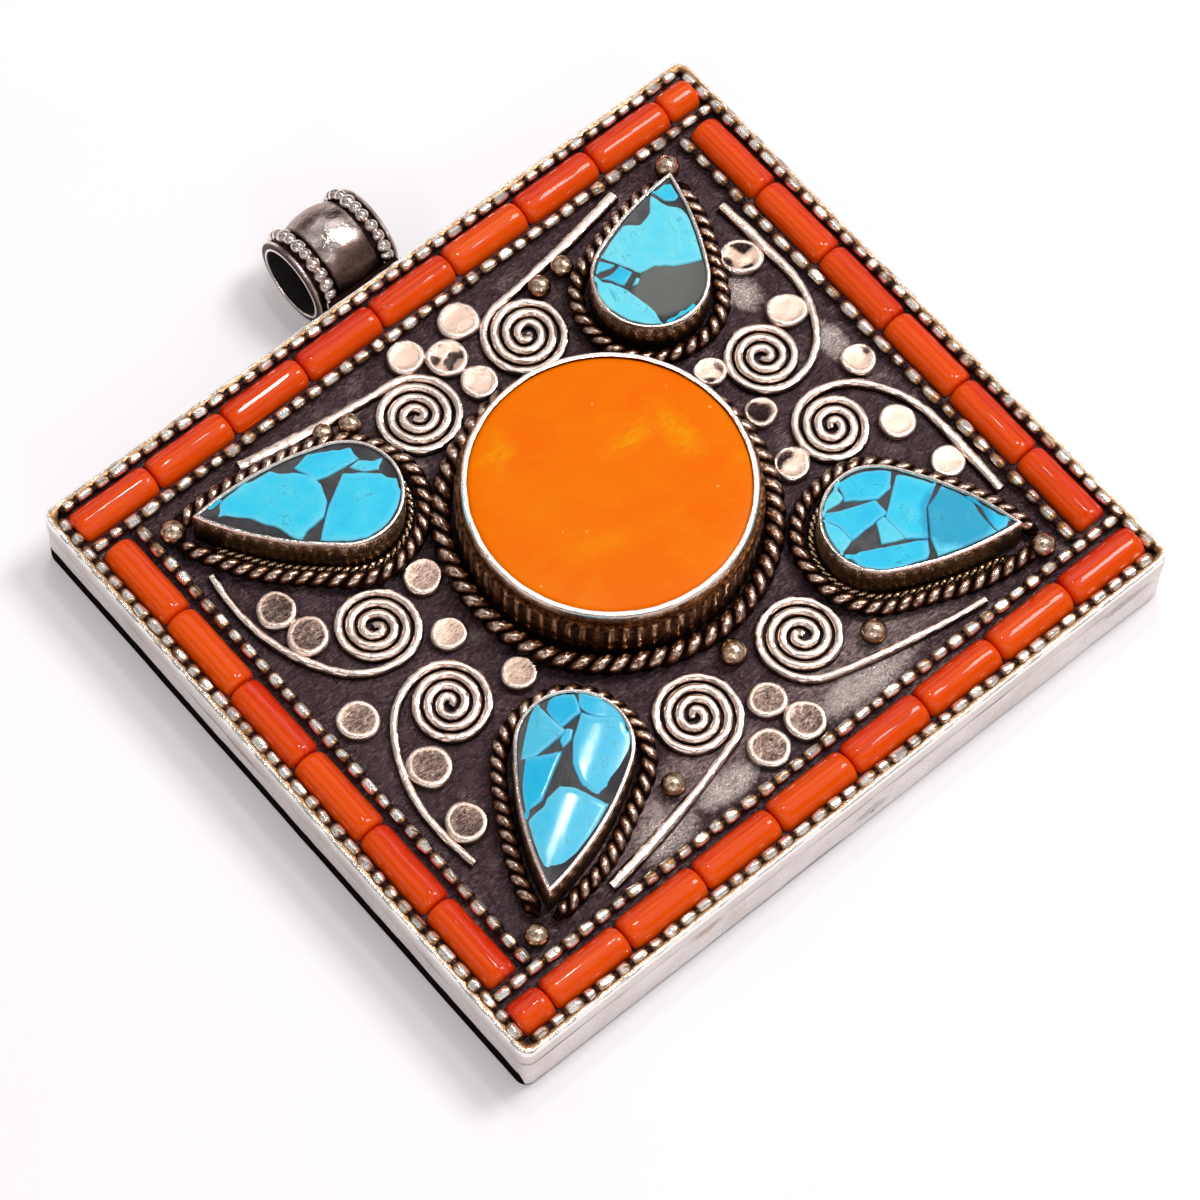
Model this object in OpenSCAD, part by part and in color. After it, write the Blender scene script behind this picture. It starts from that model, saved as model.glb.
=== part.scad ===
// Ghau amulet box pendant: a shallow silver box with an ornamented face, a hanging tube
// soldered to its top wall, and a back panel that slides out sideways in its rails.
// Front view has the hanging tube up (+Y); +X is the viewer's right and +Z comes out of the face.

/* [Case] */
// Width of the box, along the hanging tube
case_w = 75; // [74:0.5:90]
// Depth of the box, from bottom wall to top wall
case_d = 67; // [66:0.5:82]
// Height of the face above the surface that the box lies on
case_h = 7.3; // [7.2:0.1:10]
// Thickness of the silver sheet
sheet_t = 0.6; // [0.5:0.05:0.7]
// Outer radius of the box's upright corners
corner_r = 1.2; // [1:0.1:2.6]
// Depth of the face plate's turned-down edge
face_edge_h = 2; // [1.5:0.1:2.6]

/* [Sliding back] */
// Thickness of the rails that the panel slides on
rail_t = 0.5; // [0.4:0.05:0.6]
// Width of the rails and of the ledge above the panel
rail_w = 2.6; // [2:0.1:4]
// Thickness of the sliding panel
panel_t = 0.6; // [0.4:0.05:0.8]
// Thickness of the ledge that keeps the panel down
ledge_t = 0.5; // [0.4:0.05:0.8]
// Running gap above and below the panel
slide_gap = 0.1; // [0.08:0.01:0.15]
// Gap between the panel's edges and the walls
side_gap = 0.25; // [0.15:0.05:0.4]
// Thickness of the panel's closing lip
lip_t = 0.8; // [0.6:0.05:1.2]
// Length of the thumbnail groove under the panel
nail_l = 14; // [8:1:24]
// Width of the thumbnail groove
nail_w = 1.6; // [1:0.1:2.4]
// Depth of the thumbnail groove
nail_depth = 0.2; // [0.1:0.05:0.25]

/* [Amulet] */
// Width of the folded prayer packet
packet_w = 36; // [20:1:40]
// Depth of the folded prayer packet
packet_d = 30; // [20:1:50]
// Thickness of the folded prayer packet
packet_t = 3.4; // [2:0.1:3.5]
// Thickness of the binding thread
thread_t = 0.4; // [0.3:0.05:0.5]
// Room left between the packet and the panel
packet_room = 0.3; // [0.2:0.05:0.4]

/* [Border] */
// Diameter of the beaded wire
bead_d = 1.3; // [1:0.05:1.4]
// Diameter of the beaded wire between its beads
bead_neck_d = 0.7; // [0.5:0.05:0.9]
// Distance from bead to bead
bead_pitch = 1.85; // [1.6:0.05:2.4]
// Distance from bead to bead in the coarser wire inside the right corals
right_bead_pitch = 2.25; // [1.8:0.05:2.6]
// Clear width of the coral channel
channel_w = 3.9; // [3.8:0.05:4.4]
// Width of a coral
coral_w = 3.4; // [3:0.05:3.6]
// Bevel at a coral's ends
coral_bevel = 0.5; // [0.2:0.05:0.9]
// Gap between neighbouring corals
coral_gap = 0.2; // [0.1:0.05:0.4]
// Length of the short coral that ends the top and bottom rows
coral_end_l = 3.5; // [3:0.1:5]
// Corals of full length in a top or bottom row
coral_row_count = 8; // [6:1:10]
// Corals in a side row
coral_side_count = 6; // [5:1:8]

/* [Amber setting] */
// Radius of the amber disc
amber_r = 12.8; // [11:0.1:13]
// Height of the amber setting above the face
amber_h = 7.2; // [5:0.1:8]
// Thickness of the amber disc
amber_t = 4.6; // [3:0.1:4.8]
// Thickness of the amber's bezel wall
amber_bezel_t = 0.4; // [0.3:0.05:0.45]
// How far the bezel's lip is rubbed over the stone
amber_lip = 0.35; // [0.2:0.05:0.5]
// Height of the ribbed collar
collar_h = 5.8; // [4:0.1:6.4]
// Thickness of the ribbed collar
collar_t = 0.55; // [0.4:0.05:0.6]
// Ribs on the collar
collar_ribs = 68; // [48:2:80]
// Diameter of the twisted wire round the amber
amber_rope_d = 1.75; // [1.4:0.05:1.8]

/* [Turquoise drops] */
// Height of the drop settings above the face
drop_h = 4.5; // [3.5:0.1:6]
// Thickness of a drop's bezel wall
drop_bezel_t = 0.4; // [0.3:0.05:0.5]
// Radius of a drop's bulging sides
drop_side_r = 30; // [24:1:60]
// Depth of the turquoise inlay below the bezel's edge
inlay_drop = 0.3; // [0.2:0.05:0.6]
// Thickness of a turquoise chip
chip_t = 1.2; // [0.8:0.1:2]
// How far a chip stands out of its resin
chip_rise = 0.12; // [0.05:0.01:0.2]
// Diameter of the twisted wire round a drop
drop_rope_d = 1.5; // [1.2:0.05:1.6]
// Gap between that wire and the bezel
drop_rope_gap = 0.3; // [0.1:0.05:0.5]
// Diameter of the fine twisted wire that fills the gap on two of the drops
fine_rope_d = 0.8; // [0.6:0.05:0.9]

/* [Scrolls and granules] */
// Width of the scroll wire
wire_w = 0.85; // [0.7:0.05:0.9]
// Height of the scroll wire
wire_h = 0.8; // [0.6:0.05:1]
// Distance between neighbouring turns of a scroll
scroll_pitch = 1.05; // [1:0.05:1.2]
// Radius of the first half turn of a scroll
scroll_start_r = 0.5; // [0.45:0.05:0.6]
// Half turns in a scroll
scroll_half_turns = 7; // [5:1:7]
// Height of a flattened granule
disc_h = 0.9; // [0.6:0.05:1.2]

/* [Hanging tube] */
// Radius of the cord hole
bore_r = 3.5; // [2.5:0.1:3.6]
// Length of the hanging tube
tube_l = 9.4; // [8:0.1:12]
// Wall of the hanging tube
tube_t = 0.4; // [0.3:0.05:0.6]
// Radius of the rims at the tube's ends
rim_r = 4.4; // [4.2:0.05:4.6]
// Length of each rim
rim_l = 0.55; // [0.4:0.05:0.8]
// Radius of the granules round the tube
tube_granule_r = 0.45; // [0.35:0.05:0.5]
// Granules in each ring
tube_granules = 24; // [16:1:27]
// Greatest radius of the polished barrel
barrel_r = 4.8; // [4.5:0.05:5]
// Length of the polished barrel
barrel_l = 4.4; // [3:0.1:5]
// Gap between the barrel and the top wall
tube_stand_off = 0.8; // [0.5:0.1:1.5]
// Width of the soldered foot, along the tube
foot_w = 8; // [5:0.1:8.6]
// Height of the soldered foot
foot_h = 3.6; // [2:0.1:4]

/* [Hidden] */
$fn = 48;

// Gap between two soldered or set pieces whose curved faces meet
fit_gap = 0.03;
// Overrun of every cut
cut = 1;

half_w = case_w / 2;
half_d = case_d / 2;
inner_w = half_w - sheet_t;
inner_d = half_d - sheet_t;
band_h = case_h - face_edge_h;
ceiling_z = case_h - sheet_t;

// Heights of the sliding back, from the surface up
panel_z = rail_t + slide_gap;
panel_top = panel_z + panel_t;
ledge_z = panel_top + slide_gap;
slot_d = 2 * (inner_d - fit_gap);
panel_d = slot_d - 2 * side_gap;
lip_z = slide_gap;

// The ornament field lies inside the inner beaded wires
border_w = 2 * bead_d + channel_w;
field_x = half_w - border_w;
field_y = half_d - border_w;
outer_bead_x = half_w - bead_d / 2;
outer_bead_y = half_d - bead_d / 2;
inner_bead_x = field_x + bead_d / 2;
inner_bead_y = field_y + bead_d / 2;
channel_x = half_w - bead_d - channel_w / 2;
channel_y = half_d - bead_d - channel_w / 2;

// The ornament's sizes and places are those for a field of this half width and half depth
layout_half_w = 31;
layout_half_d = 27;
// On a field of another size the whole ornament grows or shrinks as one
ornament_scale = min(field_x / layout_half_w, field_y / layout_half_d);

// Shares of the layout that put the amber where the maker set it, a little off centre
amber_place_share = [0.039, 0.046];
bezel_r = amber_r + fit_gap + amber_bezel_t;
collar_in_r = bezel_r + fit_gap;
rope_in_r = collar_in_r + collar_t + fit_gap;
lip_h = 0.6 * amber_bezel_t;
bedding_h = amber_h - lip_h - amber_t;

// Each drop: its head's centre as shares of the layout, its head radius, the distance from the
// head's centre to its tip, and the direction of the tip
drop_head_r = 5.3;
drop_place_shares = [[-0.53, 0.607], [0.6, 0.592], [-0.537, -0.559], [0.587, -0.574]];
drop_head_shares = [1, 1.03, 1, 1.02];
drop_tip_shares = [2.58, 2.1, 2.65, 2.4];
drop_turns = [150.5, 40, 221, -41.5];
UL = 0;
UR = 1;
LL = 2;
LR = 3;

// Outlines of the turquoise chips, as shares of the head's radius from the head's centre
chip_shares = [
    [
        [[-1.83, 1.02], [-1.57, 1.17], [-1.21, 1.19], [-0.83, 1.06], [-0.47, 0.83], [-0.28, 0.6],
         [-0.26, 0.38], [-0.38, 0.08], [-0.58, -0.09], [-1.06, -0.13], [-1.23, 0.19], [-1.49, 0.64]],
        [[-0.33, 0.87], [-0.06, 0.85], [0.28, 0.7], [0.53, 0.55], [0.55, 0.4], [-0.02, 0.46], [-0.2, 0.52]],
        [[0.36, 0.34], [0.55, 0.34], [0.81, 0.11], [0.7, 0], [0.47, 0.15]],
        [[0.19, 0.28], [0.42, 0.11], [0.66, -0.1], [0.74, -0.34], [0.72, -0.55], [0.47, -0.74],
         [0.02, -0.85], [-0.23, -0.85], [-0.51, -0.66], [-0.79, -0.38], [-0.36, -0.04]],
        [[-2.02, 1.25], [-1.74, 1.27], [-1.66, 1.2], [-1.85, 1.1]]
    ],
    [
        [[-0.35, 0.71], [0.29, 0.87], [0.51, 0.82], [0.8, 0.89], [1.02, 1], [1.1, 0.73], [1.05, 0.36],
         [0.93, 0.04], [0.82, -0.24], [0.53, -0.13], [0.2, 0.14], [-0.07, 0.18], [-0.2, 0.47]],
        [[-0.69, 0.53], [-0.62, 0.36], [-0.49, 0.05], [-0.4, -0.44], [-0.38, -0.69], [-0.62, -0.56],
         [-0.82, -0.27], [-0.91, 0.02], [-0.85, 0.33]],
        [[-0.57, 0.42], [-0.27, 0.47], [-0.2, 0.25], [-0.45, 0.15]],
        [[-0.6, 0.5], [-0.42, 0.68], [-0.31, 0.54]],
        [[-0.35, 0.06], [-0.2, 0.13], [-0.16, 0.08], [-0.26, 0.02]],
        [[-0.31, -0.73], [-0.02, -0.72], [0.2, -0.8], [0.04, -0.86], [-0.22, -0.82]],
        [[1.07, 1.08], [1.29, 1.15], [1.4, 1.13], [1.36, 0.97], [1.16, 0.88]]
    ],
    [
        [[-0.13, 0.91], [-0.36, 0.85], [-0.6, 0.64], [-0.72, 0.28], [-0.02, 0.3], [-0.04, 0.62], [-0.03, 0.91]],
        [[0.08, 0.91], [0.25, 0.89], [0.43, 0.77], [0.42, 0.4], [0.06, 0.4]],
        [[0.64, 0.66], [0.81, 0.4], [0.92, -0.02], [0.87, -0.32], [0.7, -0.02], [0.5, 0.45]],
        [[0.44, 0.3], [0.62, -0.02], [0.84, -0.45], [0.43, -0.74], [-0.23, -0.98], [-0.32, -0.62],
         [-0.2, -0.26], [0.06, 0.04]],
        [[-0.89, 0.23], [-0.68, 0.23], [-0.32, 0.02], [-0.79, -0.25], [-1.3, -0.55], [-1.17, -0.28]],
        [[-0.94, -0.49], [-0.68, -0.47], [-0.53, -0.62], [-0.36, -1.02], [-0.89, -1.22], [-1.74, -1.42],
         [-1.68, -1.2], [-1.4, -0.74]],
        [[-0.17, 0.09], [0.02, 0.11], [0.15, 0.22], [0.08, 0.3], [-0.13, 0.21]]
    ],
    [
        [[-0.57, 0.52], [0.13, 0.26], [0.13, 0.04], [-0.57, 0.02]],
        [[-0.17, 0.61], [0.04, 0.85], [0.37, 0.76], [0.63, 0.52], [0.5, 0.34], [0.24, 0.32]],
        [[-0.7, 0.6], [-0.44, 0.8], [-0.07, 0.89], [-0.22, 0.66], [-0.56, 0.58]],
        [[0.12, -0.09], [0.67, 0.31], [1.04, -0.13], [0.7, -0.31], [0.37, -0.72], [0.12, -0.52]],
        [[-0.26, -0.37], [-0.07, -0.04], [0.06, -0.04], [0.06, -0.52]],
        [[-0.81, -0.2], [-0.37, -0.45], [0.3, -0.8], [0.24, -0.88], [-0.09, -0.92], [-0.5, -0.8], [-0.78, -0.5]],
        [[0.46, -0.8], [0.78, -0.38], [1.15, -0.28], [1.22, -0.63], [1.3, -1.28], [0.83, -1.2], [0.35, -1.08]],
        [[1.3, -0.65], [1.46, -1], [1.6, -1.38], [1.38, -1.3]],
        [[-0.81, 0.35], [-0.63, 0.48], [-0.63, 0], [-0.85, -0.1]]
    ]
];

// Flattened granules: place as shares of the layout, then radius as a share of disc_r
disc_r = 1.85;
disc_shares = [
    [-0.08, 0.932, 0.91], [0.116, 0.928, 1], [0.012, 0.842, 1], [0.035, 0.703, 0.9],
    [-0.88, 0.473, 0.97], [-0.861, 0.335, 1], [-0.492, 0.264, 0.94], [-0.55, 0.05, 0.85],
    [-0.918, -0.003, 1], [-0.854, -0.276, 1.06], [-0.883, -0.5, 1], [-0.475, -0.203, 0.87],
    [0.574, 0.244, 0.75], [0.882, 0.258, 0.9], [0.895, 0.512, 0.96], [0.9355, -0.037, 0.85],
    [0.887, -0.296, 0.9], [0.911, -0.515, 0.84], [0.558, -0.192, 0.9], [0.6, 0.02, 0.8],
    [0.01, -0.79, 0.92], [-0.084, -0.922, 1], [0.052, -0.922, 1]
];
// Round granules, the same way, with the radius as a share of ball_r
ball_r = 1.15;
ball_shares = [
    [-0.411, 0.8765, 0.47], [-0.347, 0.848, 0.9], [0.371, 0.8515, 0.92], [0.4645, 0.8615, 0.92],
    [-0.369, -0.826, 0.95], [0.379, -0.83, 1.04], [0.027, -0.594, 1.1],
    [-0.956, 0.904, 1.02], [0.923, 0.932, 1.02], [-0.953, -0.945, 0.95], [0.935, -0.9495, 1.02]
];
// A ball rests on a flat seat this share of its radius below its centre
ball_seat_share = 0.75;

// Scrolls: centre as shares of the layout
top_scroll_shares = [[-0.168, 0.738], [0.235, 0.745]];
bottom_scroll_shares = [[-0.171, -0.683], [0.21, -0.687]];
left_scroll_shares = [[-0.697, 0.212], [-0.687, -0.133]];
right_scroll_shares = [[0.739, 0.176], [0.742, -0.172]];
// Turns whose sine and cosine are short decimals, so that arcs laid end to end meet exactly
turn_narrow = asin(0.6);
turn_wide = asin(0.8);
turn_wider = asin(0.96);
turn_near_square = asin(0.99712);
// The radii of the scrolls' tails are counted in this length
tail_step = 1;
// Heading at which the spiral lets its tail go, then the tail's arcs: radius and turn
top_tail_heading = 90;
top_tail = [[3.95, turn_near_square], [-130, -7]];
bottom_tail_heading = 90;
bottom_left_tail = [[4.2, turn_wider], [110, 9]];
bottom_right_tail = [[4.7, turn_wider], [100, 9]];
left_tail_heading = 180;
left_tail = [[6.5, turn_wide], [16, turn_narrow], [25, 11]];
// The right-hand scrolls are wound smaller, because the amber stands nearer to them
right_scroll_half_turns = scroll_half_turns - 1;
right_tail_heading = 90;
right_tail = [[3.7, 90], [6.3, turn_wide], [11.4, turn_narrow], [150, 3.3]];

// The hanging tube lies beside the top wall, its barrel just clear of the surface
tube_r = bore_r + tube_t;
tube_y = half_d + tube_stand_off + barrel_r;
tube_z = barrel_r + slide_gap / 2;
granule_x = (barrel_l / 2 + tube_l / 2 - rim_l) / 2;

// The part's origin is the middle of its bounding box, on the surface it lies on
top_y = tube_y + barrel_r;
origin_y = (top_y - half_d) / 2;

silver = "silver";
dark_silver = "#6a6468";
coral_red = "#e2400f";
amber_orange = "#ff8000";
turquoise_blue = "#28b4e6";
resin_grey = "#3c3c40";

// Everything is drawn about the middle of the box, then moved to the origin
module placed(z = 0)
    translate([0, -origin_y, z]) children();

// Places a piece of the ornament on the face, at shares of the layout's half width and half depth
module on_face(shares, z = 0)
    placed(case_h) scale(ornament_scale)
        translate([shares[0] * layout_half_w, shares[1] * layout_half_d, z]) children();

module rounded_box_outline(x, y, r)
    union() {
        square([2 * x, 2 * (y - r)], center = true);
        square([2 * (x - r), 2 * y], center = true);
        for (sx = [-1, 1], sy = [-1, 1])
            translate([sx * (x - r), sy * (y - r)]) circle(r);
    }

module case_outline() rounded_box_outline(half_w, half_d, corner_r);
module case_inner_outline() rounded_box_outline(inner_w, inner_d, corner_r - sheet_t);

// Case and sliding back
module case_band() color(silver) placed()
    difference() {
        linear_extrude(band_h) difference() {
            case_outline();
            case_inner_outline();
        }
        translate([inner_w - corner_r, -slot_d / 2, -cut]) cube([corner_r + sheet_t + cut, slot_d, ledge_z + cut]);
    }

module face_plate() color(dark_silver) placed(band_h)
    difference() {
        linear_extrude(face_edge_h) case_outline();
        translate([0, 0, -cut]) linear_extrude(face_edge_h - sheet_t + cut) case_inner_outline();
    }

module strip(from_x, to_x, from_y, to_y, height)
    linear_extrude(height) intersection() {
        translate([from_x, from_y]) square([to_x - from_x, to_y - from_y]);
        rounded_box_outline(inner_w - fit_gap, inner_d - fit_gap, corner_r - sheet_t - fit_gap);
    }

// Strips on both long sides and at the closed end
module frame_strips(height, end_x) {
    for (side = [-1, 1])
        mirror([0, side < 0 ? 1 : 0, 0])
            strip(-inner_w, end_x, inner_d - rail_w, inner_d, height);
    strip(-inner_w, -inner_w + rail_w, -inner_d + rail_w + fit_gap, inner_d - rail_w - fit_gap, height);
}

module slide_rails() color(silver) placed() frame_strips(rail_t, inner_w - corner_r);

module panel_ledge() color(silver) placed(ledge_z) {
    frame_strips(ledge_t, inner_w);
    strip(inner_w - rail_w, inner_w, -inner_d + rail_w + fit_gap, inner_d - rail_w - fit_gap, ledge_t);
}

module back_panel() color(silver) placed()
    difference() {
        intersection() {
            union() {
                translate([-inner_w + side_gap, -panel_d / 2, panel_z])
                    cube([inner_w - side_gap + half_w, panel_d, panel_t]);
                translate([half_w - lip_t, -panel_d / 2, lip_z]) cube([lip_t, panel_d, panel_top - lip_z]);
            }
            linear_extrude(case_h) union() {
                rounded_box_outline(inner_w - side_gap, inner_d - side_gap, corner_r - sheet_t);
                intersection() {
                    case_outline();
                    translate([0, -half_d]) square([half_w, case_d]);
                }
            }
        }
        translate([half_w - lip_t - 2 * nail_w, -nail_l / 2, panel_z - cut]) cube([nail_w, nail_l, nail_depth + cut]);
    }

// The amulet: a folded paper packet tied with thread
packet_x = -inner_w + rail_w + packet_room + 0.58 * packet_w;
packet_z = panel_top + packet_room + thread_t;
packet_corner_r = packet_t / 4;

module prayer_packet() color("#d8c8a0") placed(packet_z)
    translate([packet_x, 0, 0])
        linear_extrude(packet_t) rounded_box_outline(packet_w / 2, packet_d / 2, packet_corner_r);

module thread_loop(around)
    rotate([90, 0, 0]) linear_extrude(thread_t, center = true) difference() {
        square([around + 2 * (thread_t + fit_gap), packet_t + 2 * (thread_t + fit_gap)], center = true);
        square([around + 2 * fit_gap, packet_t + 2 * fit_gap], center = true);
    }

module packet_thread() color("#7c1c18") placed(packet_z + packet_t / 2)
    translate([packet_x, 0, 0]) {
        thread_loop(packet_w);
        rotate([0, 0, 90]) thread_loop(packet_d);
    }

// Beaded wire along +X, lying on the face and centred on its own length
function bead_profile(count, pitch) =
    [for (k = [0:count - 1], point = [[0, bead_neck_d / 2], [0.3, bead_d / 2], [0.7, bead_d / 2]])
        [point[1], (k + point[0]) * pitch]];

module beaded_wire(length, spacing = bead_pitch) {
    count = round(length / spacing);
    translate([-length / 2, 0, bead_d / 2]) rotate([0, 90, 0]) rotate_extrude()
        polygon(concat([[0, 0]], bead_profile(count, length / count), [[bead_neck_d / 2, length], [0, length]]));
}

module outer_beading() color(silver) placed(case_h) {
    for (side = [-1, 1]) {
        translate([0, side * outer_bead_y, 0]) beaded_wire(case_w - corner_r);
        translate([side * outer_bead_x, 0, 0]) rotate([0, 0, 90])
            beaded_wire(2 * (outer_bead_y - bead_d / 2 - fit_gap));
    }
}

module row_beading(side) color(silver) placed(case_h)
    translate([0, side * inner_bead_y, 0]) beaded_wire(2 * (outer_bead_x - bead_d / 2 - fit_gap));

module side_beading(side, spacing) color(silver) placed(case_h)
    translate([side * inner_bead_x, 0, 0]) rotate([0, 0, 90]) beaded_wire(2 * (field_y - fit_gap), spacing);

module top_beading() row_beading(1);
module bottom_beading() row_beading(-1);
module left_beading() side_beading(-1, bead_pitch);
module right_beading() side_beading(1, right_bead_pitch);

// A half-round coral with bevelled ends, from x = 0 along +X
module coral(length) {
    r = coral_w / 2;
    intersection() {
        rotate([0, 90, 0]) rotate_extrude()
            polygon([[0, 0], [r - coral_bevel, 0], [r, coral_bevel], [r, length - coral_bevel],
                     [r - coral_bevel, length], [0, length]]);
        translate([-cut, -r - cut, 0]) cube([length + 2 * cut, 2 * (r + cut), r + cut]);
    }
}

row_l = 2 * (outer_bead_x - bead_d / 2) - 2 * coral_gap;
row_coral_l = (row_l - coral_end_l) / coral_row_count - coral_gap;
side_row_l = 2 * (field_y - coral_gap);
side_coral_l = side_row_l / coral_side_count - coral_gap;

module coral_row() {
    for (k = [0:coral_row_count - 1])
        translate([k * (row_coral_l + coral_gap), 0, 0]) coral(row_coral_l);
    translate([coral_row_count * (row_coral_l + coral_gap), 0, 0]) coral(coral_end_l);
}

module side_coral_row(side) color(coral_red) placed(case_h)
    translate([side * channel_x, -(side_row_l - coral_gap) / 2, 0]) rotate([0, 0, 90])
        for (k = [0:coral_side_count - 1])
            translate([k * (side_coral_l + coral_gap), 0, 0]) coral(side_coral_l);

module coral_top_row() color(coral_red) placed(case_h) translate([-row_l / 2, channel_y, 0]) coral_row();
module coral_bottom_row() color(coral_red) placed(case_h)
    translate([row_l / 2, -channel_y, 0]) rotate([0, 0, 180]) coral_row();
module coral_left_row() side_coral_row(-1);
module coral_right_row() side_coral_row(1);

// Amber setting
module at_amber(z = 0) on_face(amber_place_share, z) children();

module amber_stone() color(amber_orange) at_amber(bedding_h) rotate_extrude()
    polygon([[0, 0], [amber_r, 0], [amber_r, amber_t - amber_lip], [amber_r - amber_lip, amber_t],
             [0, amber_t]]);

module amber_bedding() color(resin_grey) at_amber() cylinder(h = bedding_h, r = amber_r);

module amber_bezel() color(silver) at_amber() rotate_extrude()
    polygon([[amber_r + fit_gap, 0], [bezel_r, 0], [bezel_r, amber_h - lip_h], [bezel_r - lip_h, amber_h],
             [amber_r - amber_lip / 2, amber_h], [amber_r + fit_gap, amber_h - lip_h - amber_lip / 2]]);

module amber_collar() color(dark_silver) at_amber() linear_extrude(collar_h) difference() {
    polygon([for (rib = [0:collar_ribs - 1], point = [[0, 0.45], [0.25, 0.85], [0.5, 1], [0.75, 0.85]])
        let (a = (rib + point[0]) * 360 / collar_ribs, r = collar_in_r + point[1] * collar_t)
            [r * cos(a), r * sin(a)]]);
    circle(collar_in_r, $fn = 4 * collar_ribs);
}

// Section of a twisted wire of diameter 1 that is soldered down: across, then up
rope_section = [[0.25, 0], [0.75, 0], [1, 0.35], [0.87, 0.78], [0.5, 1], [0.13, 0.78], [0, 0.35]];

module amber_rope() color(dark_silver) at_amber() rotate_extrude()
    translate([rope_in_r, 0]) polygon(amber_rope_d * rope_section);

// A drop's outline, its tip along +X: a round head of radius r and two bulging sides of radius
// drop_side_r that meet at the distance tip, all moved outwards by grow. The sides touch the head
// at the angle whose cosine is side_cos. The share skip of each side is left off at the tip.
function side_cos(r, tip) =
    let (back = drop_side_r - r) (pow(drop_side_r, 2) - pow(back, 2) - tip * tip) / (2 * back * tip);

function drop_points(r, tip, grow, skip = 0, head_steps = 14, side_steps = 6) =
    let (back = drop_side_r - r,
         meet = acos(side_cos(r, tip)),
         side_x = -back * cos(meet),
         side_y = -back * sin(meet),
         side_r = drop_side_r + grow,
         tip_angle = asin(-side_y / side_r),
         start = tip_angle + skip * (meet - tip_angle))
    concat(
        [for (k = [0:side_steps - 1])
            let (a = start + (meet - start) * k / side_steps)
                [side_x + side_r * cos(a), side_y + side_r * sin(a)]],
        [for (k = [0:head_steps])
            let (a = meet + (360 - 2 * meet) * k / head_steps) (r + grow) * [cos(a), sin(a)]],
        [for (k = [side_steps - 1:-1:skip > 0 ? 0 : 1])
            let (a = start + (meet - start) * k / side_steps)
                [side_x + side_r * cos(a), -side_y - side_r * sin(a)]]);

function head_r(which) = drop_head_r * drop_head_shares[which];
function drop_outline(which, grow, skip = 0) =
    drop_points(head_r(which), drop_head_r * drop_tip_shares[which], grow, skip);

module at_drop(which, z = 0) on_face(drop_place_shares[which], z) children();

module drop_shape(which, grow) rotate(drop_turns[which]) polygon(drop_outline(which, grow));

module drop_bezel(which) color(silver) at_drop(which) linear_extrude(drop_h) difference() {
    drop_shape(which, 0);
    drop_shape(which, -drop_bezel_t);
}

inlay_grow = -drop_bezel_t - fit_gap;
resin_h = drop_h - inlay_drop;

module chip_outline(which, chip) intersection() {
    polygon(head_r(which) * chip_shares[which][chip]);
    drop_shape(which, inlay_grow - 2 * fit_gap);
}

module drop_resin(which) color(resin_grey) at_drop(which) difference() {
    linear_extrude(resin_h) drop_shape(which, inlay_grow);
    for (chip = [0:len(chip_shares[which]) - 1])
        translate([0, 0, resin_h + chip_rise - chip_t]) linear_extrude(chip_t) chip_outline(which, chip);
}

module turquoise(which) color(turquoise_blue) at_drop(which, resin_h + chip_rise - chip_t)
    for (chip = [0:len(chip_shares[which]) - 1])
        linear_extrude(chip_t) chip_outline(which, chip);

// Twisted wire laid round a drop from tip to tip, its section starting at the distance inner
rope_tip_skip_share = 0.15;

module rope_round_drop(which, inner, d) {
    rows = [for (corner = rope_section)
        [for (p = drop_outline(which, inner + d * corner[0], rope_tip_skip_share)) [p[0], p[1], d * corner[1]]]];
    n = len(rows[0]);
    m = len(rows);
    sides = [for (i = [0:m - 1], k = [0:n - 2])
        let (a = i * n + k, b = a + 1, e = (i + 1) % m * n + k, c = e + 1) each [[a, e, c], [a, c, b]]];
    ends = [[for (i = [m - 1:-1:0]) i * n], [for (i = [0:m - 1]) i * n + n - 1]];
    rotate(drop_turns[which]) polyhedron([for (row = rows) each row], concat(sides, ends));
}

module drop_rope(which, inner = drop_rope_gap) color(dark_silver) at_drop(which)
    rope_round_drop(which, inner, drop_rope_d);
module fine_rope(which) color(dark_silver) at_drop(which) rope_round_drop(which, fit_gap, fine_rope_d);

module drop_bezel_upper_left() drop_bezel(UL);
module drop_bezel_upper_right() drop_bezel(UR);
module drop_bezel_lower_left() drop_bezel(LL);
module drop_bezel_lower_right() drop_bezel(LR);
module drop_resin_upper_left() drop_resin(UL);
module drop_resin_upper_right() drop_resin(UR);
module drop_resin_lower_left() drop_resin(LL);
module drop_resin_lower_right() drop_resin(LR);
module turquoise_upper_left() turquoise(UL);
module turquoise_upper_right() turquoise(UR);
module turquoise_lower_left() turquoise(LL);
module turquoise_lower_right() turquoise(LR);
module drop_rope_upper_left() drop_rope(UL, fine_rope_d + 2 * fit_gap);
module drop_rope_upper_right() drop_rope(UR);
module drop_rope_lower_left() drop_rope(LL);
module drop_rope_lower_right() drop_rope(LR, fine_rope_d + 2 * fit_gap);
module fine_rope_upper_left() fine_rope(UL);
module fine_rope_lower_right() fine_rope(LR);

// Scroll wire, flattened on top and soldered down
wire_section = [
    [-wire_w / 2, 0], [wire_w / 2, 0], [wire_w / 2, 0.55 * wire_h], [0.3 * wire_w, wire_h],
    [-0.3 * wire_w, wire_h], [-wire_w / 2, 0.55 * wire_h]
];

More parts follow.
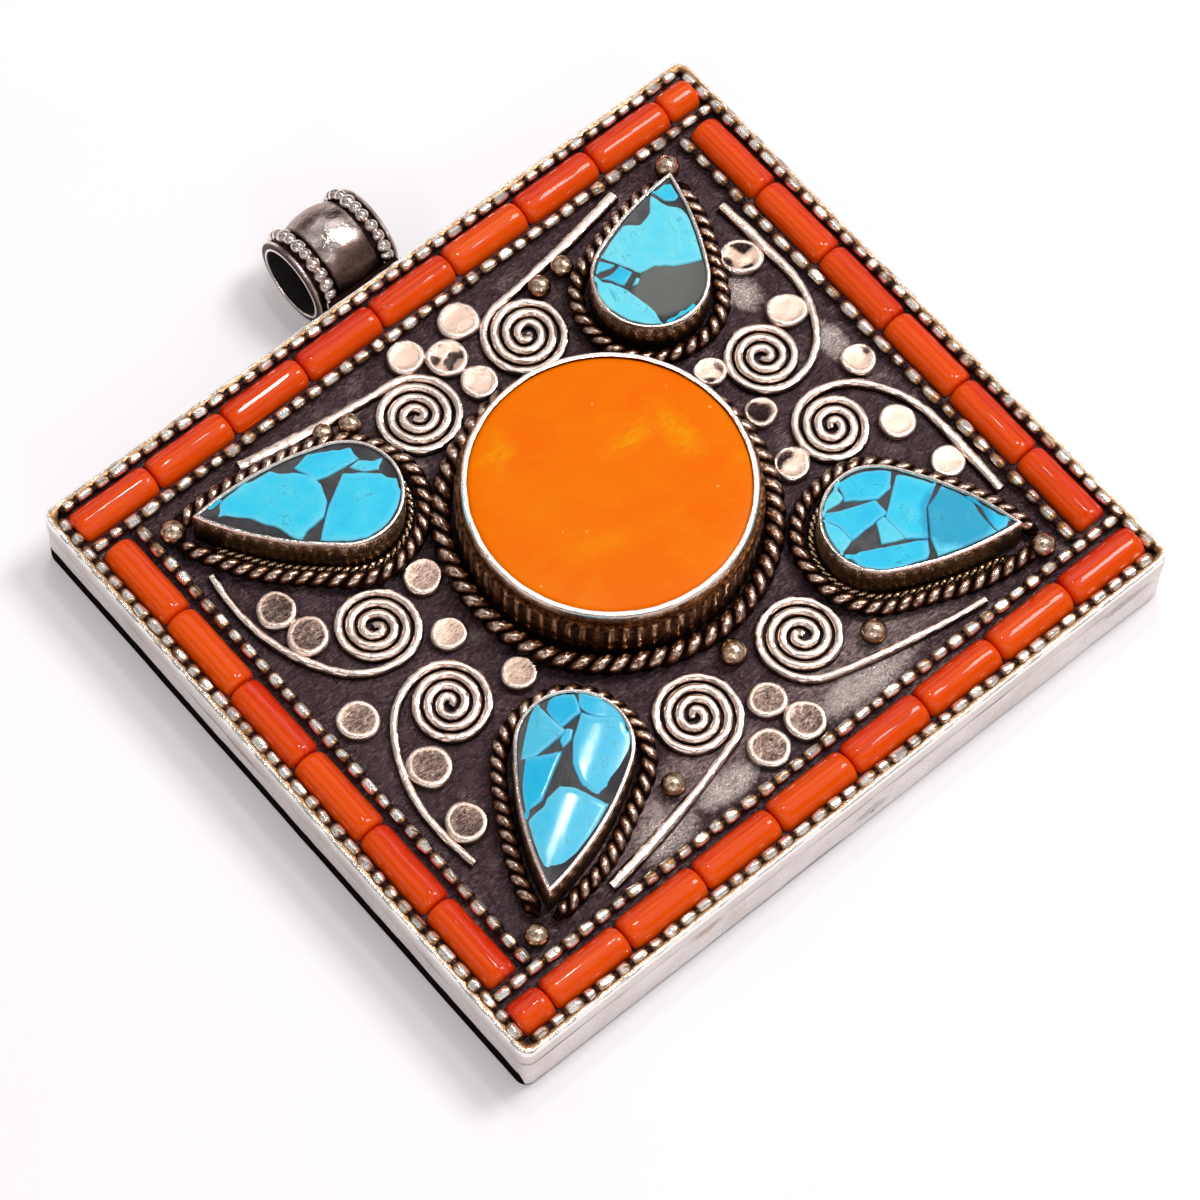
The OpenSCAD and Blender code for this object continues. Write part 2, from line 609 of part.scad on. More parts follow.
// Arcs laid end to end, each [radius, turn], starting at the origin along +X. A positive pair
// turns left, and a pair of negative numbers turns right.
module wire_arcs(arcs, k = 0)
    if (k < len(arcs)) {
        r = arcs[k][0];
        turn = arcs[k][1];
        side = r > 0 ? 0 : 1;
        mirror([0, side, 0]) translate([0, abs(r), 0]) rotate([0, 0, -90]) rotate_extrude(angle = abs(turn))
            translate([abs(r), 0]) polygon(wire_section);
        translate([r * sin(turn), r * (1 - cos(turn)), 0]) rotate([0, 0, turn]) wire_arcs(arcs, k + 1);
    }

// A spiral of half turns that ends along the heading, with its tail
module scroll(half_turns, heading, tail)
    rotate([0, 0, heading - 180 * half_turns]) translate([0, -scroll_start_r, 0])
        wire_arcs(concat(
            [for (k = [0:half_turns - 1]) [scroll_start_r + k * scroll_pitch / 2, 180]],
            [for (arc = tail) [arc[0] * tail_step, arc[1]]]));

module at_field(shares) color(silver) on_face(shares) children();

module scroll_top_left() at_field(top_scroll_shares[0])
    scroll(scroll_half_turns, top_tail_heading, top_tail);
module scroll_top_right() at_field(top_scroll_shares[1]) mirror([1, 0, 0])
    scroll(scroll_half_turns, top_tail_heading, top_tail);
module scroll_bottom_left() at_field(bottom_scroll_shares[0]) mirror([0, 1, 0])
    scroll(scroll_half_turns, bottom_tail_heading, bottom_left_tail);
module scroll_bottom_right() at_field(bottom_scroll_shares[1]) mirror([1, 0, 0]) mirror([0, 1, 0])
    scroll(scroll_half_turns, bottom_tail_heading, bottom_right_tail);
module scroll_left_upper() at_field(left_scroll_shares[0]) mirror([0, 1, 0])
    scroll(scroll_half_turns, left_tail_heading, left_tail);
module scroll_left_lower() at_field(left_scroll_shares[1])
    scroll(scroll_half_turns, left_tail_heading, left_tail);
module scroll_right_upper() at_field(right_scroll_shares[0]) mirror([1, 0, 0]) mirror([0, 1, 0])
    scroll(right_scroll_half_turns, right_tail_heading, right_tail);
module scroll_right_lower() at_field(right_scroll_shares[1]) mirror([1, 0, 0])
    scroll(right_scroll_half_turns, right_tail_heading, right_tail);

// Granules
module disc(r) {
    edge = disc_h / 3;
    rotate_extrude() polygon([[0, 0], [r - edge / 2, 0], [r, edge], [r, 2 * edge], [r - edge, disc_h], [0, disc_h]]);
}

module granule_discs()
    for (row = disc_shares)
        at_field(row) disc(row[2] * disc_r);

module granule_balls()
    for (row = ball_shares)
        at_field(row) intersection() {
            translate([0, 0, ball_seat_share * row[2] * ball_r]) sphere(row[2] * ball_r);
            translate([-case_h, -case_h, 0]) cube([2 * case_h, 2 * case_h, case_h]);
        }

// Hanging tube
module along_tube(x = 0)
    placed(tube_z) translate([x, tube_y, 0]) rotate([0, 90, 0]) children();

module bail_tube() color(silver) along_tube(-tube_l / 2) rotate_extrude()
    polygon([[bore_r, 0], [rim_r, 0], [rim_r, rim_l], [tube_r, rim_l], [tube_r, tube_l - rim_l],
             [rim_r, tube_l - rim_l], [rim_r, tube_l], [bore_r, tube_l]]);

barrel_end_r = tube_r + tube_t;
module bail_barrel() color(silver) along_tube(-barrel_l / 2) rotate_extrude()
    polygon(concat(
        [[tube_r + fit_gap, 0]],
        [for (k = [0:8]) [barrel_end_r + (barrel_r - barrel_end_r) * sin(180 * k / 8), barrel_l * k / 8]],
        [[tube_r + fit_gap, barrel_l]]));

module bail_granules() color(silver)
    for (side = [-1, 1], k = [0:tube_granules - 1])
        along_tube(side * granule_x) rotate([0, 0, 360 * (k + 0.5) / tube_granules])
            translate([tube_r + tube_granule_r + fit_gap, 0, 0]) sphere(tube_granule_r);

// The foot fills the gap between the tube and the top wall, below the granules and the rims
module bail_foot() color(dark_silver) difference() {
    placed(tube_z) translate([-foot_w / 2, half_d, -foot_h / 2])
        cube([foot_w, tube_y - half_d, foot_h]);
    along_tube(-foot_w) cylinder(h = 2 * foot_w, r = barrel_r + fit_gap);
}

case_band();
face_plate();
slide_rails();
panel_ledge();
back_panel();
prayer_packet();
packet_thread();
outer_beading();
top_beading();
bottom_beading();
left_beading();
right_beading();
coral_top_row();
coral_bottom_row();
coral_left_row();
coral_right_row();
amber_stone();
amber_bedding();
amber_bezel();
amber_collar();
amber_rope();
drop_bezel_upper_left();
drop_bezel_upper_right();
drop_bezel_lower_left();
drop_bezel_lower_right();
drop_resin_upper_left();
drop_resin_upper_right();
drop_resin_lower_left();
drop_resin_lower_right();
turquoise_upper_left();
turquoise_upper_right();
turquoise_lower_left();
turquoise_lower_right();
drop_rope_upper_left();
drop_rope_upper_right();
drop_rope_lower_left();
drop_rope_lower_right();
fine_rope_upper_left();
fine_rope_lower_right();
scroll_top_left();
scroll_top_right();
scroll_bottom_left();
scroll_bottom_right();
scroll_left_upper();
scroll_left_lower();
scroll_right_upper();
scroll_right_lower();
granule_discs();
granule_balls();
bail_tube();
bail_barrel();
bail_granules();
bail_foot();
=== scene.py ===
# Ghau amulet box: detailed meshes, materials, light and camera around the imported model.
# Lengths are millimetres about the middle of the box, as in the part's source. Each mesh is moved
# to the part's frame, in metres, when it is made.
import math
import random

import bmesh
import bpy
import numpy as np
from mathutils import Matrix, Vector, noise


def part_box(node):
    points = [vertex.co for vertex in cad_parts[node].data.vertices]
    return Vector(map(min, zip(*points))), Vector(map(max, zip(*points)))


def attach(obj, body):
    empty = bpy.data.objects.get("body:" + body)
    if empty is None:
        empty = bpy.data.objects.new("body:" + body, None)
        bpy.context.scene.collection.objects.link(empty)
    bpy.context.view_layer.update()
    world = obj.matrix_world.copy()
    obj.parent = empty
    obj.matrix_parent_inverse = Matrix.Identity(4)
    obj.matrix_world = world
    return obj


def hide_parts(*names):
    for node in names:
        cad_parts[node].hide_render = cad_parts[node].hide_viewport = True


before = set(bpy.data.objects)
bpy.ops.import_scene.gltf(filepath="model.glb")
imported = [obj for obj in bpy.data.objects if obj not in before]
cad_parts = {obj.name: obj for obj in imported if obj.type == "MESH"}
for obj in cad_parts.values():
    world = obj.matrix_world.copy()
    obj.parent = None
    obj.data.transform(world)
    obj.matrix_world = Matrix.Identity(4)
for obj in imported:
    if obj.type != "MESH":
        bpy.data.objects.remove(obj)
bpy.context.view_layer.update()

MM = 0.001
TAU = 2 * math.pi

# The part's main sizes, as in its source
HALF_W = 37.5
HALF_D = 33.5
CASE_H = 7.3
CORNER_R = 1.2
FACE_EDGE_H = 2.0
BEAD_D = 1.3
BEAD_PITCH = 1.85
RIGHT_BEAD_PITCH = 2.25
CORAL_W = 3.4
FIELD = np.array([31.0, 27.0])
INNER_BEAD_X, INNER_BEAD_Y = FIELD + BEAD_D / 2
AMBER_CENTRE = FIELD * (0.039, 0.046)
AMBER_R = 12.8
AMBER_H = 7.2
DROP_H = 4.5
DROP_HEAD_R = 5.3
DROP_SIDE_R = 30.0
DROP_BEZEL_T = 0.4
SCROLL_START_R = 0.5
SCROLL_PITCH = 1.05
TUBE_Y = 39.1
TUBE_Z = 4.85
ORIGIN_Y = 5.2
BORE_R = 3.5
TUBE_R = 3.9
TUBE_L = 9.4

rng = random.Random(7)
uneven = random.Random(23)
mats = {}


def to_frame(points):
    """Millimetres about the middle of the box, z from the surface up, to the part's frame."""
    return (np.asarray(points, float) - [0, ORIGIN_Y, 0]) * MM


def level(x, y, z):
    """Points at x, y and z, each of them a number or an array."""
    return np.stack(np.broadcast_arrays(x, y, z), -1)


def turns(count):
    """Evenly spaced angles round a whole turn."""
    return np.arange(count) * TAU / count


def smooth_step(x, low, high):
    t = np.clip((np.asarray(x, float) - low) / (high - low), 0, 1)
    return t * t * (3 - 2 * t)


def rough(points, scale, amount, seed=0):
    """One smooth random number a point, up to amount either way, with bumps of about scale millimetres."""
    shift = Vector((seed * 7.31, seed * 3.17, seed * 5.77))
    flat = np.asarray(points, float).reshape(-1, 3)
    values = [noise.noise(Vector(p) / scale + shift) for p in flat]
    return amount * np.array(values).reshape(np.shape(points)[:-1])


# Mesh building


class Form:
    """Points in millimetres, faces, and two values a point: wear, rubbed bright, which on the bail's barrel
    also carries a painted highlight and on the corals is the place round the tube that their painted light
    follows; tone, varied by element.
    """

    def __init__(self):
        self.points = []
        self.faces = []
        self.wear_and_sheen = []
        self.tone = []
        self.count = 0

    def add(self, points, faces, wear_and_sheen=0.5, tone=0.5):
        points = np.asarray(points, float).reshape(-1, 3)
        n = len(points)
        self.points.append(points)
        self.faces += [[i + self.count for i in face] for face in faces]
        self.wear_and_sheen.append(np.broadcast_to(np.ravel(wear_and_sheen), (n,)))
        self.tone.append(np.broadcast_to(np.ravel(tone), (n,)))
        self.count += n

    def loft(self, rows, wear_and_sheen=0.5, tone=0.5, loop=False):
        """Rings of points, row after row. With loop the last row joins the first, else both are capped.
        wear is one number, or one for each place in a ring, each ring or each point."""
        rows = np.asarray(rows, float)
        n, m = rows.shape[:2]
        faces = []
        for i in range(n if loop else n - 1):
            a = i * m
            b = (i + 1) % n * m
            faces += [[a + j, a + (j + 1) % m, b + (j + 1) % m, b + j] for j in range(m)]
        if not loop:
            faces.append(list(range(m - 1, -1, -1)))
            faces.append(list(range((n - 1) * m, n * m)))
        self.add(rows, faces, np.broadcast_to(wear_and_sheen, (n, m)), tone)

    def make(self, node, look, sharp=35):
        """The piece that is shown in the place of a CAD node."""
        mesh = bpy.data.meshes.new(node + "_shown")
        mesh.from_pydata(to_frame(np.concatenate(self.points)).tolist(), [], self.faces)
        for key, values in (("wear_and_sheen", self.wear_and_sheen), ("tone", self.tone)):
            layer = mesh.attributes.new(key, "FLOAT", "POINT")
            layer.data.foreach_set("value", np.concatenate(values).astype(np.float32))
        bm = bmesh.new()
        bm.from_mesh(mesh)
        bmesh.ops.recalc_face_normals(bm, faces=bm.faces)
        bm.to_mesh(mesh)
        bm.free()
        return settle(mesh, node, look, "box", sharp)


def settle(mesh, node, look, body, sharp):
    """Shades a mesh, puts it in the scene in the place of a CAD node and ties it to the frame."""
    mesh.shade_smooth()
    mesh.set_sharp_from_angle(angle=math.radians(sharp))
    mesh.materials.clear()
    mesh.materials.append(mats[look])
    piece = bpy.data.objects.new(node + "_shown", mesh)
    bpy.context.scene.collection.objects.link(piece)
    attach(piece, body)
    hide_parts(node)
    return piece


def cad_mesh(node):
    """A clean bmesh copy of a CAD node, in millimetres about the middle of the box."""
    bm = bmesh.new()
    bm.from_mesh(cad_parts[node].data)
    bm.transform(Matrix.Translation((0, ORIGIN_Y, 0)) @ Matrix.Scale(1 / MM, 4))
    bmesh.ops.remove_doubles(bm, verts=bm.verts, dist=0.002)
    bmesh.ops.dissolve_limit(bm, angle_limit=math.radians(1), verts=bm.verts, edges=bm.edges)
    return bm


def bevelled(node, look, width, body="box", segments=2, move=None, wear_and_sheen=0.5):
    """A CAD node's own shape with its edges broken. For a move function it is first cut finely."""
    bm = cad_mesh(node)
    if move:
        cuts = [((0, 0, z), (0, 0, 1)) for z in (0.2, 0.4, 0.6, 0.85, 1.3, 2.1, 3.1, 4.2)]
        cuts += [((x, 0, 0), (1, 0, 0)) for x in range(-35, 37, 2)]
        cuts += [((0, y, 0), (0, 1, 0)) for y in range(-31, 33, 2)]
        for place, way in cuts:
            parts = bm.verts[:] + bm.edges[:] + bm.faces[:]
            bmesh.ops.bisect_plane(bm, geom=parts, plane_co=place, plane_no=way)
    least = math.radians(30)
    edges = [e for e in bm.edges if len(e.link_faces) == 2 and e.calc_face_angle() > least]
    bmesh.ops.bevel(bm, geom=edges, offset=width, segments=segments, affect="EDGES", profile=0.6,
                    clamp_overlap=True)
    if move:
        move(bm)
    for key, value in (("wear_and_sheen", wear_and_sheen), ("tone", 0.5)):
        layer = bm.verts.layers.float.new(key)
        for v in bm.verts:
            v[layer] = value
    bmesh.ops.triangulate(bm, faces=[f for f in bm.faces if len(f.verts) > 4])
    bm.transform(Matrix.Scale(MM, 4) @ Matrix.Translation((0, -ORIGIN_Y, 0)))
    mesh = bpy.data.meshes.new(node)
    bm.to_mesh(mesh)
    bm.free()
    settle(mesh, node, look, body, 40)


def loose_parts(node):
    """Lowest and highest corner of each solid in a CAD node."""
    bm = cad_mesh(node)
    bm.verts.index_update()
    seen = set()
    boxes = []
    for start in bm.verts:
        if start.index in seen:
            continue
        stack = [start]
        seen.add(start.index)
        found = []
        while stack:
            v = stack.pop()
            found.append(v.co[:])
            for e in v.link_edges:
                w = e.other_vert(v)
                if w.index not in seen:
                    seen.add(w.index)
                    stack.append(w)
        boxes.append((np.min(found, 0), np.max(found, 0)))
    bm.free()
    return boxes


def grid(nx, ny):
    """Faces over a grid of nx by ny points, and the points round its border."""
    index = np.arange(nx * ny).reshape(nx, ny)
    faces = np.stack([index[:-1, :-1], index[1:, :-1], index[1:, 1:], index[:-1, 1:]], 2)
    border = [*index[:, 0], *index[-1, 1:], *index[-2::-1, -1], *index[0, -2:0:-1]]
    return faces.reshape(-1, 4), border


# Paths


def resample(path, step, closed):
    """Points a step apart along a path, and the path's length."""
    path = np.asarray(path, float)
    if closed:
        path = np.vstack([path, path[:1]])
    lengths = np.concatenate([[0], np.cumsum(np.linalg.norm(np.diff(path, axis=0), axis=1))])
    count = max(int(round(lengths[-1] / step)), 8)
    at = np.linspace(0, lengths[-1], count + 1)
    out = np.stack([np.interp(at, lengths, path[:, k]) for k in range(path.shape[1])], 1)
    return (out[:-1] if closed else out), lengths[-1]


def directions(path, closed):
    """Unit direction of travel at each point."""
    d = np.roll(path, -1, 0) - np.roll(path, 1, 0) if closed else np.gradient(path, axis=0)
    return d / np.linalg.norm(d, axis=1)[:, None]


def tube_rings(line, radius, up_hint, sides, closed):
    """Rings round a 3-D line. up_hint gives, for each point, a direction that isn't along the line."""
    t = directions(line, closed)
    a = up_hint - (up_hint * t).sum(1)[:, None] * t
    a /= np.linalg.norm(a, axis=1)[:, None]
    b = np.cross(t, a)
    turn = turns(sides)[None, :, None]
    ring = np.cos(turn) * a[:, None, :] + np.sin(turn) * b[:, None, :]
    return line[:, None, :] + ring * np.reshape(radius, (-1, 1, 1))


def twisted(form, path, closed, d, pitch, up=(0, 0, 1), plump=0.3, seed=1, sides=10, step=0.16, taper=0):
    """Two wires twisted together along a 3-D path; up is the direction away from what they lie on."""
    path, length = resample(path, step, closed)
    n = len(path)
    up = np.broadcast_to(np.asarray(up, float), path.shape)
    side = np.cross(directions(path, closed), up)
    twists = round(length / pitch) if closed else length / pitch
    at = np.arange(n) / (n if closed else n - 1)
    size = np.ones(n)
    if taper:
        size = 1 - (1 - smooth_step(np.minimum(at, 1 - at) * length, 0, taper)) * 0.55
    swing = d * (0.5 - plump) * size
    sway = 0.06 * d * np.sin(at * TAU * 5 + seed)
    if closed:
        sway = sway * np.sin(at * math.pi) ** 2
    sway = sway[:, None] * side
    for k in range(2):
        phase = at * twists * TAU + 0.35 * np.sin(at * TAU * 3 + seed) + k * TAU / 2
        out = np.cos(phase)[:, None] * side + np.sin(phase)[:, None] * up
        line = path + (swing[:, None] * out) + sway
        rings = tube_rings(line, d * plump * size, out, sides, closed)
        from_axis = np.linalg.norm(rings - (path + sway)[:, None, :], axis=2) / (d / 2)
        height = ((rings - path[:, None, :]) * up[:, None, :]).sum(2) / (d / 2)
        wear_and_sheen = smooth_step(from_axis, 0.72, 0.98) * (0.3 + 0.7 * smooth_step(height, 0.1, 0.8))
        form.loft(rings, wear_and_sheen, rng.random(), loop=closed)


def sweep(form, path, closed, section, wear_and_sheen, size, widen=1):
    """A section of points [across, up] carried along a flat path, in its size, and widened across it."""
    t = directions(path, closed)
    across = level(t[:, 1], -t[:, 0], 0)[:, None, :]
    section = np.asarray(section, float)[None]
    rows = (path[:, None, :] + (size * widen)[:, None, None] * section[..., :1] * across
            + size[:, None, None] * section[..., 1:] * np.array([0, 0, 1.0]))
    form.loft(rows, wear_and_sheen, loop=closed)


def lathe(form, profile, centre, wear_and_sheen=0.5, axis="z", sides=128, closed=True, wobble=0.0, seed=0):
    """A profile of [radius, height] points turned about an axis. closed joins its last point to its first."""
    r, h = np.transpose(np.asarray(profile, float))[:, None, :]
    turn = turns(sides)[:, None]
    points = level(r * np.cos(turn), r * np.sin(turn), h)
    if wobble:
        shake = rough(points, 1.7, wobble, seed)
        points[..., :2] *= (1 + shake / np.maximum(np.abs(r), 0.001))[..., None]
    if axis == "x":
        points = points[..., [2, 0, 1]]
    n = len(profile)
    faces = []
    for i in range(sides):
        for j in range(n if closed else n - 1):
            a = i * n + j
            b = i * n + (j + 1) % n
            faces.append([a, (a + n) % (sides * n), (b + n) % (sides * n), b])
    form.add(points + np.asarray(centre, float), faces, np.broadcast_to(wear_and_sheen, (sides, n)))


# Materials


def paint(value):
    """A colour of three numbers is one as a screen shows it, 0 to 255, and is turned to linear light."""
    def linear(c):
        c /= 255
        return c / 12.92 if c < 0.04045 else ((c + 0.055) / 1.055) ** 2.4
    if isinstance(value, tuple) and len(value) == 3:
        return (*map(linear, value), 1)
    return value


class Nodes:
    """A node tree, built a line at a time."""

    def __init__(self, tree):
        self.tree = tree

    def put(self, socket, value):
        if isinstance(value, bpy.types.NodeSocket):
            self.tree.links.new(value, socket)
        else:
            socket.default_value = value

    def node(self, kind, inputs=(), **settings):
        made = self.tree.nodes.new(kind)
        for key, value in settings.items():
            setattr(made, key, value)
        for key, value in dict(inputs).items():
            self.put(made.inputs[key], value)
        return made

    def math(self, operation, first, second=0.0, clamp=False):
        made = self.node("ShaderNodeMath", {0: first, 1: second}, operation=operation, use_clamp=clamp)
        return made.outputs[0]

    def add(self, first, second, clamp=False):
        return self.math("ADD", first, second, clamp)

    def less(self, first, second):
        return self.math("SUBTRACT", first, second)

    def times(self, first, second):
        return self.math("MULTIPLY", first, second)

    def swing(self, value, reach):
        """Noise about 0 instead of 0.5, and reach times as strong."""
        return self.times(self.less(value, 0.5), reach)

    def either(self, *masks):
        """The strongest of several masks."""
        found = masks[0]
        for mask in masks[1:]:
            found = self.math("MAXIMUM", found, mask)
        return found

    def ramp(self, value, *stops):
        """Colours or plain values between places on the scale of a value."""
        made = self.node("ShaderNodeValToRGB", {"Fac": value})
        elements = made.color_ramp.elements
        while len(elements) < len(stops):
            elements.new(0.5)
        for element, (position, colour) in zip(elements, stops):
            element.position = position
            element.color = paint(colour) if isinstance(colour, tuple) else (colour, colour, colour, 1)
        return made.outputs["Color"]

    def rise(self, value, low, high, top=1.0):
        return self.ramp(value, (low, 0.0), (high, top))

    def fall(self, value, low, high, top=1.0):
        return self.ramp(value, (low, top), (high, 0.0))

    def line(self, value, low, middle, high, top):
        """A narrow band of a value, as for veins and creases."""
        return self.ramp(value, (low, 0.0), (middle, top), (high, 0.0))

    def mix(self, share, first, second, blend="MIX"):
        made = self.node("ShaderNodeMix", {0: share, 6: paint(first), 7: paint(second)},
                         data_type="RGBA", blend_type=blend)
        return made.outputs[2]


class Shade(Nodes):
    """A material, kept under the name of its look."""

    def __init__(self, look, name, **sockets):
        mats[look] = bpy.data.materials.new(name)
        mats[look].use_nodes = True
        super().__init__(mats[look].node_tree)
        self.surface = self.tree.nodes["Principled BSDF"]
        for key, value in sockets.items():
            self.surface.inputs[key.replace("_", " ")].default_value = value
        self.place = self.node("ShaderNodeTexCoord").outputs["Object"]
        self.wear_and_sheen = self.node("ShaderNodeAttribute", attribute_name="wear_and_sheen").outputs["Fac"]
        self.tone = self.node("ShaderNodeAttribute", attribute_name="tone").outputs["Fac"]

    def noise(self, size, detail=3, roughness=0.55, stretch=None, distortion=0.0):
        """Noise whose bumps are about size millimetres. stretch scales its axes, then turns it in degrees."""
        place = self.place
        if stretch:
            turn = math.radians(stretch[3]) if len(stretch) > 3 else 0
            place = self.node("ShaderNodeMapping", {
                "Vector": place, "Scale": stretch[:3], "Rotation": (0, 0, turn)}).outputs["Vector"]
        return self.node("ShaderNodeTexNoise", {
            "Vector": place, "Scale": 1 / (size * MM), "Detail": detail, "Roughness": roughness,
            "Distortion": distortion}).outputs["Fac"]

    def stripes(self, count):
        """Noise that only changes across a piece, by its wear value, and is another for each tone."""
        place = self.node("ShaderNodeCombineXYZ", {
            0: self.times(self.wear_and_sheen, count), 1: self.times(self.tone, 53.0)})
        return self.node("ShaderNodeTexNoise", {
            "Vector": place.outputs[0], "Scale": 1, "Detail": 4, "Roughness": 0.65}).outputs["Fac"]

    def cells(self, size):
        """Distance to the middle of the nearest of many cells of about size millimetres."""
        made = self.node("ShaderNodeTexVoronoi", {"Vector": self.place, "Scale": 1 / (size * MM)})
        return made.outputs["Distance"]

    def spot(self, centre, radii, edge=0.5, uneven=0.5, size=0.8):
        """1 in a patch of uneven outline about a place, 0 away from it, all in millimetres."""
        centre = tuple(to_frame(centre))
        radii = tuple(np.array(radii, float) * MM)
        moved = self.node("ShaderNodeVectorMath", {0: self.place, 1: centre}, operation="SUBTRACT")
        scaled = self.node("ShaderNodeVectorMath", {0: moved.outputs[0], 1: radii}, operation="DIVIDE")
        far = self.node("ShaderNodeVectorMath", {0: scaled.outputs[0]}, operation="LENGTH")
        shaken = self.swing(self.noise(size, 4, 0.65), 2 * uneven)
        return self.fall(self.add(far.outputs["Value"], shaken), 1 - edge, 1.0)

    def part_of_place(self, axis):
        """One coordinate, in millimetres about the middle of the box."""
        parts = self.node("ShaderNodeSeparateXYZ", {0: self.place})
        value = self.math("DIVIDE", parts.outputs["XYZ".index(axis)], MM)
        return self.add(value, ORIGIN_Y) if axis == "Y" else value

    def colour(self, value):
        self.put(self.surface.inputs["Base Color"], value)

    def roughness(self, value):
        self.put(self.surface.inputs["Roughness"], value)

    def bump(self, *layers):
        """Each layer is a height from 0 to 1 and the millimetres that it stands for."""
        normal = None
        for height, depth in layers:
            made = self.node("ShaderNodeBump", {"Strength": 1, "Distance": depth * MM, "Height": height})
            if normal:
                self.put(made.inputs["Normal"], normal)
            normal = made.outputs["Normal"]
        self.put(self.surface.inputs["Normal"], normal)


def worked_silver(look, dark, middle, bright, lift=0.0, smooth=0.16, blotch=0.5, metal=1.0):
    """Silver that is rubbed bright on its high places and black in its recesses."""
    s = Shade(look, "silver_" + look, Metallic=metal)
    spots = s.noise(0.45, 4, 0.6)
    fine = s.noise(0.11, 2)
    fac = s.add(s.add(s.wear_and_sheen, lift), s.swing(spots, blotch), True)
    s.colour(s.ramp(fac, (0.1, dark), (0.42, middle), (0.72, bright)))
    s.roughness(s.add(s.ramp(fac, (0.1, 0.42), (0.7, smooth)), s.times(fine, 0.08)))
    s.bump((spots, 0.05), (fine, 0.012))


def turquoise(look, coat):
    s = Shade(look, look, Roughness=0.35, Specular_IOR_Level=0.15, Coat_Weight=coat, Coat_Roughness=0.12)
    polished = coat > 0.5
    cloud = s.noise(2.4, 4, 0.6)
    vein = s.line(s.noise(3.2, 3, 0.6, distortion=1.6), 0.488, 0.5, 0.512, 1.0)
    vein_places = s.rise(s.noise(2.4, 2), 0.5, 0.6)
    fac = s.add(s.times(cloud, 0.6), s.times(s.tone, 0.5), True)
    base = s.ramp(fac, (0.2, (24, 192, 242)), (0.5, (62, 216, 250)), (0.85, (124, 236, 252)))
    base = s.mix(0.4 if polished else 0.0, base, (0, 180, 238))
    base = s.mix(s.rise(s.noise(1.6, 4, 0.7), 0.62, 0.8, 0.6), base, (56, 190, 160))
    base = s.mix(s.times(s.wear_and_sheen, 0.2), base, (190, 240, 250))
    deep = s.spot((23.7, -19.6, CASE_H + DROP_H), (3.6, 3.6, 3), 0.2, 0.25, 2)
    base = s.mix(s.times(deep, 0.7), base, (18, 150, 196))
    s.colour(s.mix(s.times(vein, s.times(vein_places, 0.5)), base, (30, 92, 112)))
    smooth = 0.25 if polished else 1.0
    s.bump((cloud, 0.012 * smooth), (s.noise(0.2, 3), 0.004 * smooth))


def make_ornament_looks():
    dark = (48, 26, 28)
    worked_silver("wire", dark, (150, 112, 94), (255, 234, 220), -0.1, 0.13, 0.8)
    worked_silver("bead", dark, (186, 138, 92), (255, 250, 242), 0.0, 0.08, metal=0.8)
    worked_silver("rope", (34, 18, 14), (128, 82, 60), (255, 232, 212), -0.42, 0.08, 1.1)
    worked_silver("collar", (56, 30, 18), (176, 124, 82), (255, 228, 190), 0.05, 0.12, 0.9)
    worked_silver("ball", (44, 26, 16), (180, 128, 76), (255, 240, 218), -0.42, 0.05, 0.4)
    worked_silver("bezel", (46, 28, 22), (166, 124, 80), (255, 246, 236), 0.0, 0.12, 1.0)
    worked_silver("bail", (48, 34, 34), (150, 122, 112), (236, 222, 214), 0.0, 0.05, 0.35)

    s = Shade("disc", "silver_disc", Metallic=1.0)
    cloud = s.noise(1.2, 3)
    scratch = s.noise(0.5, 4, 0.75, (1, 2.4, 1, 25), 1.4)
    fac = s.add(s.wear_and_sheen, s.swing(cloud, 0.2))
    share = s.ramp(s.tone, (0.2, 0.16), (0.8, 1.4))
    fac = s.add(fac, s.swing(scratch, share), True)
    s.colour(s.ramp(fac, (0.08, (44, 32, 32)), (0.3, (122, 102, 94)), (0.52, (220, 188, 168)),
                    (0.78, (232, 202, 184)), (0.95, (255, 240, 230))))
    s.roughness(s.ramp(s.wear_and_sheen, (0.6, 0.34), (0.95, 0.12)))
    s.bump((scratch, 0.03), (cloud, 0.05))

    # Painted shade: the inside of the hanging tube's bore is coloured near black, where little light reaches
    s = Shade("black", "silver_bore_painted_shade", Metallic=0.3, Roughness=0.7)
    grime_and_shade = s.noise(0.5, 4)
    s.colour(s.ramp(grime_and_shade, (0.3, (14, 10, 12)), (0.7, (34, 26, 28))))
    s.bump((grime_and_shade, 0.03))


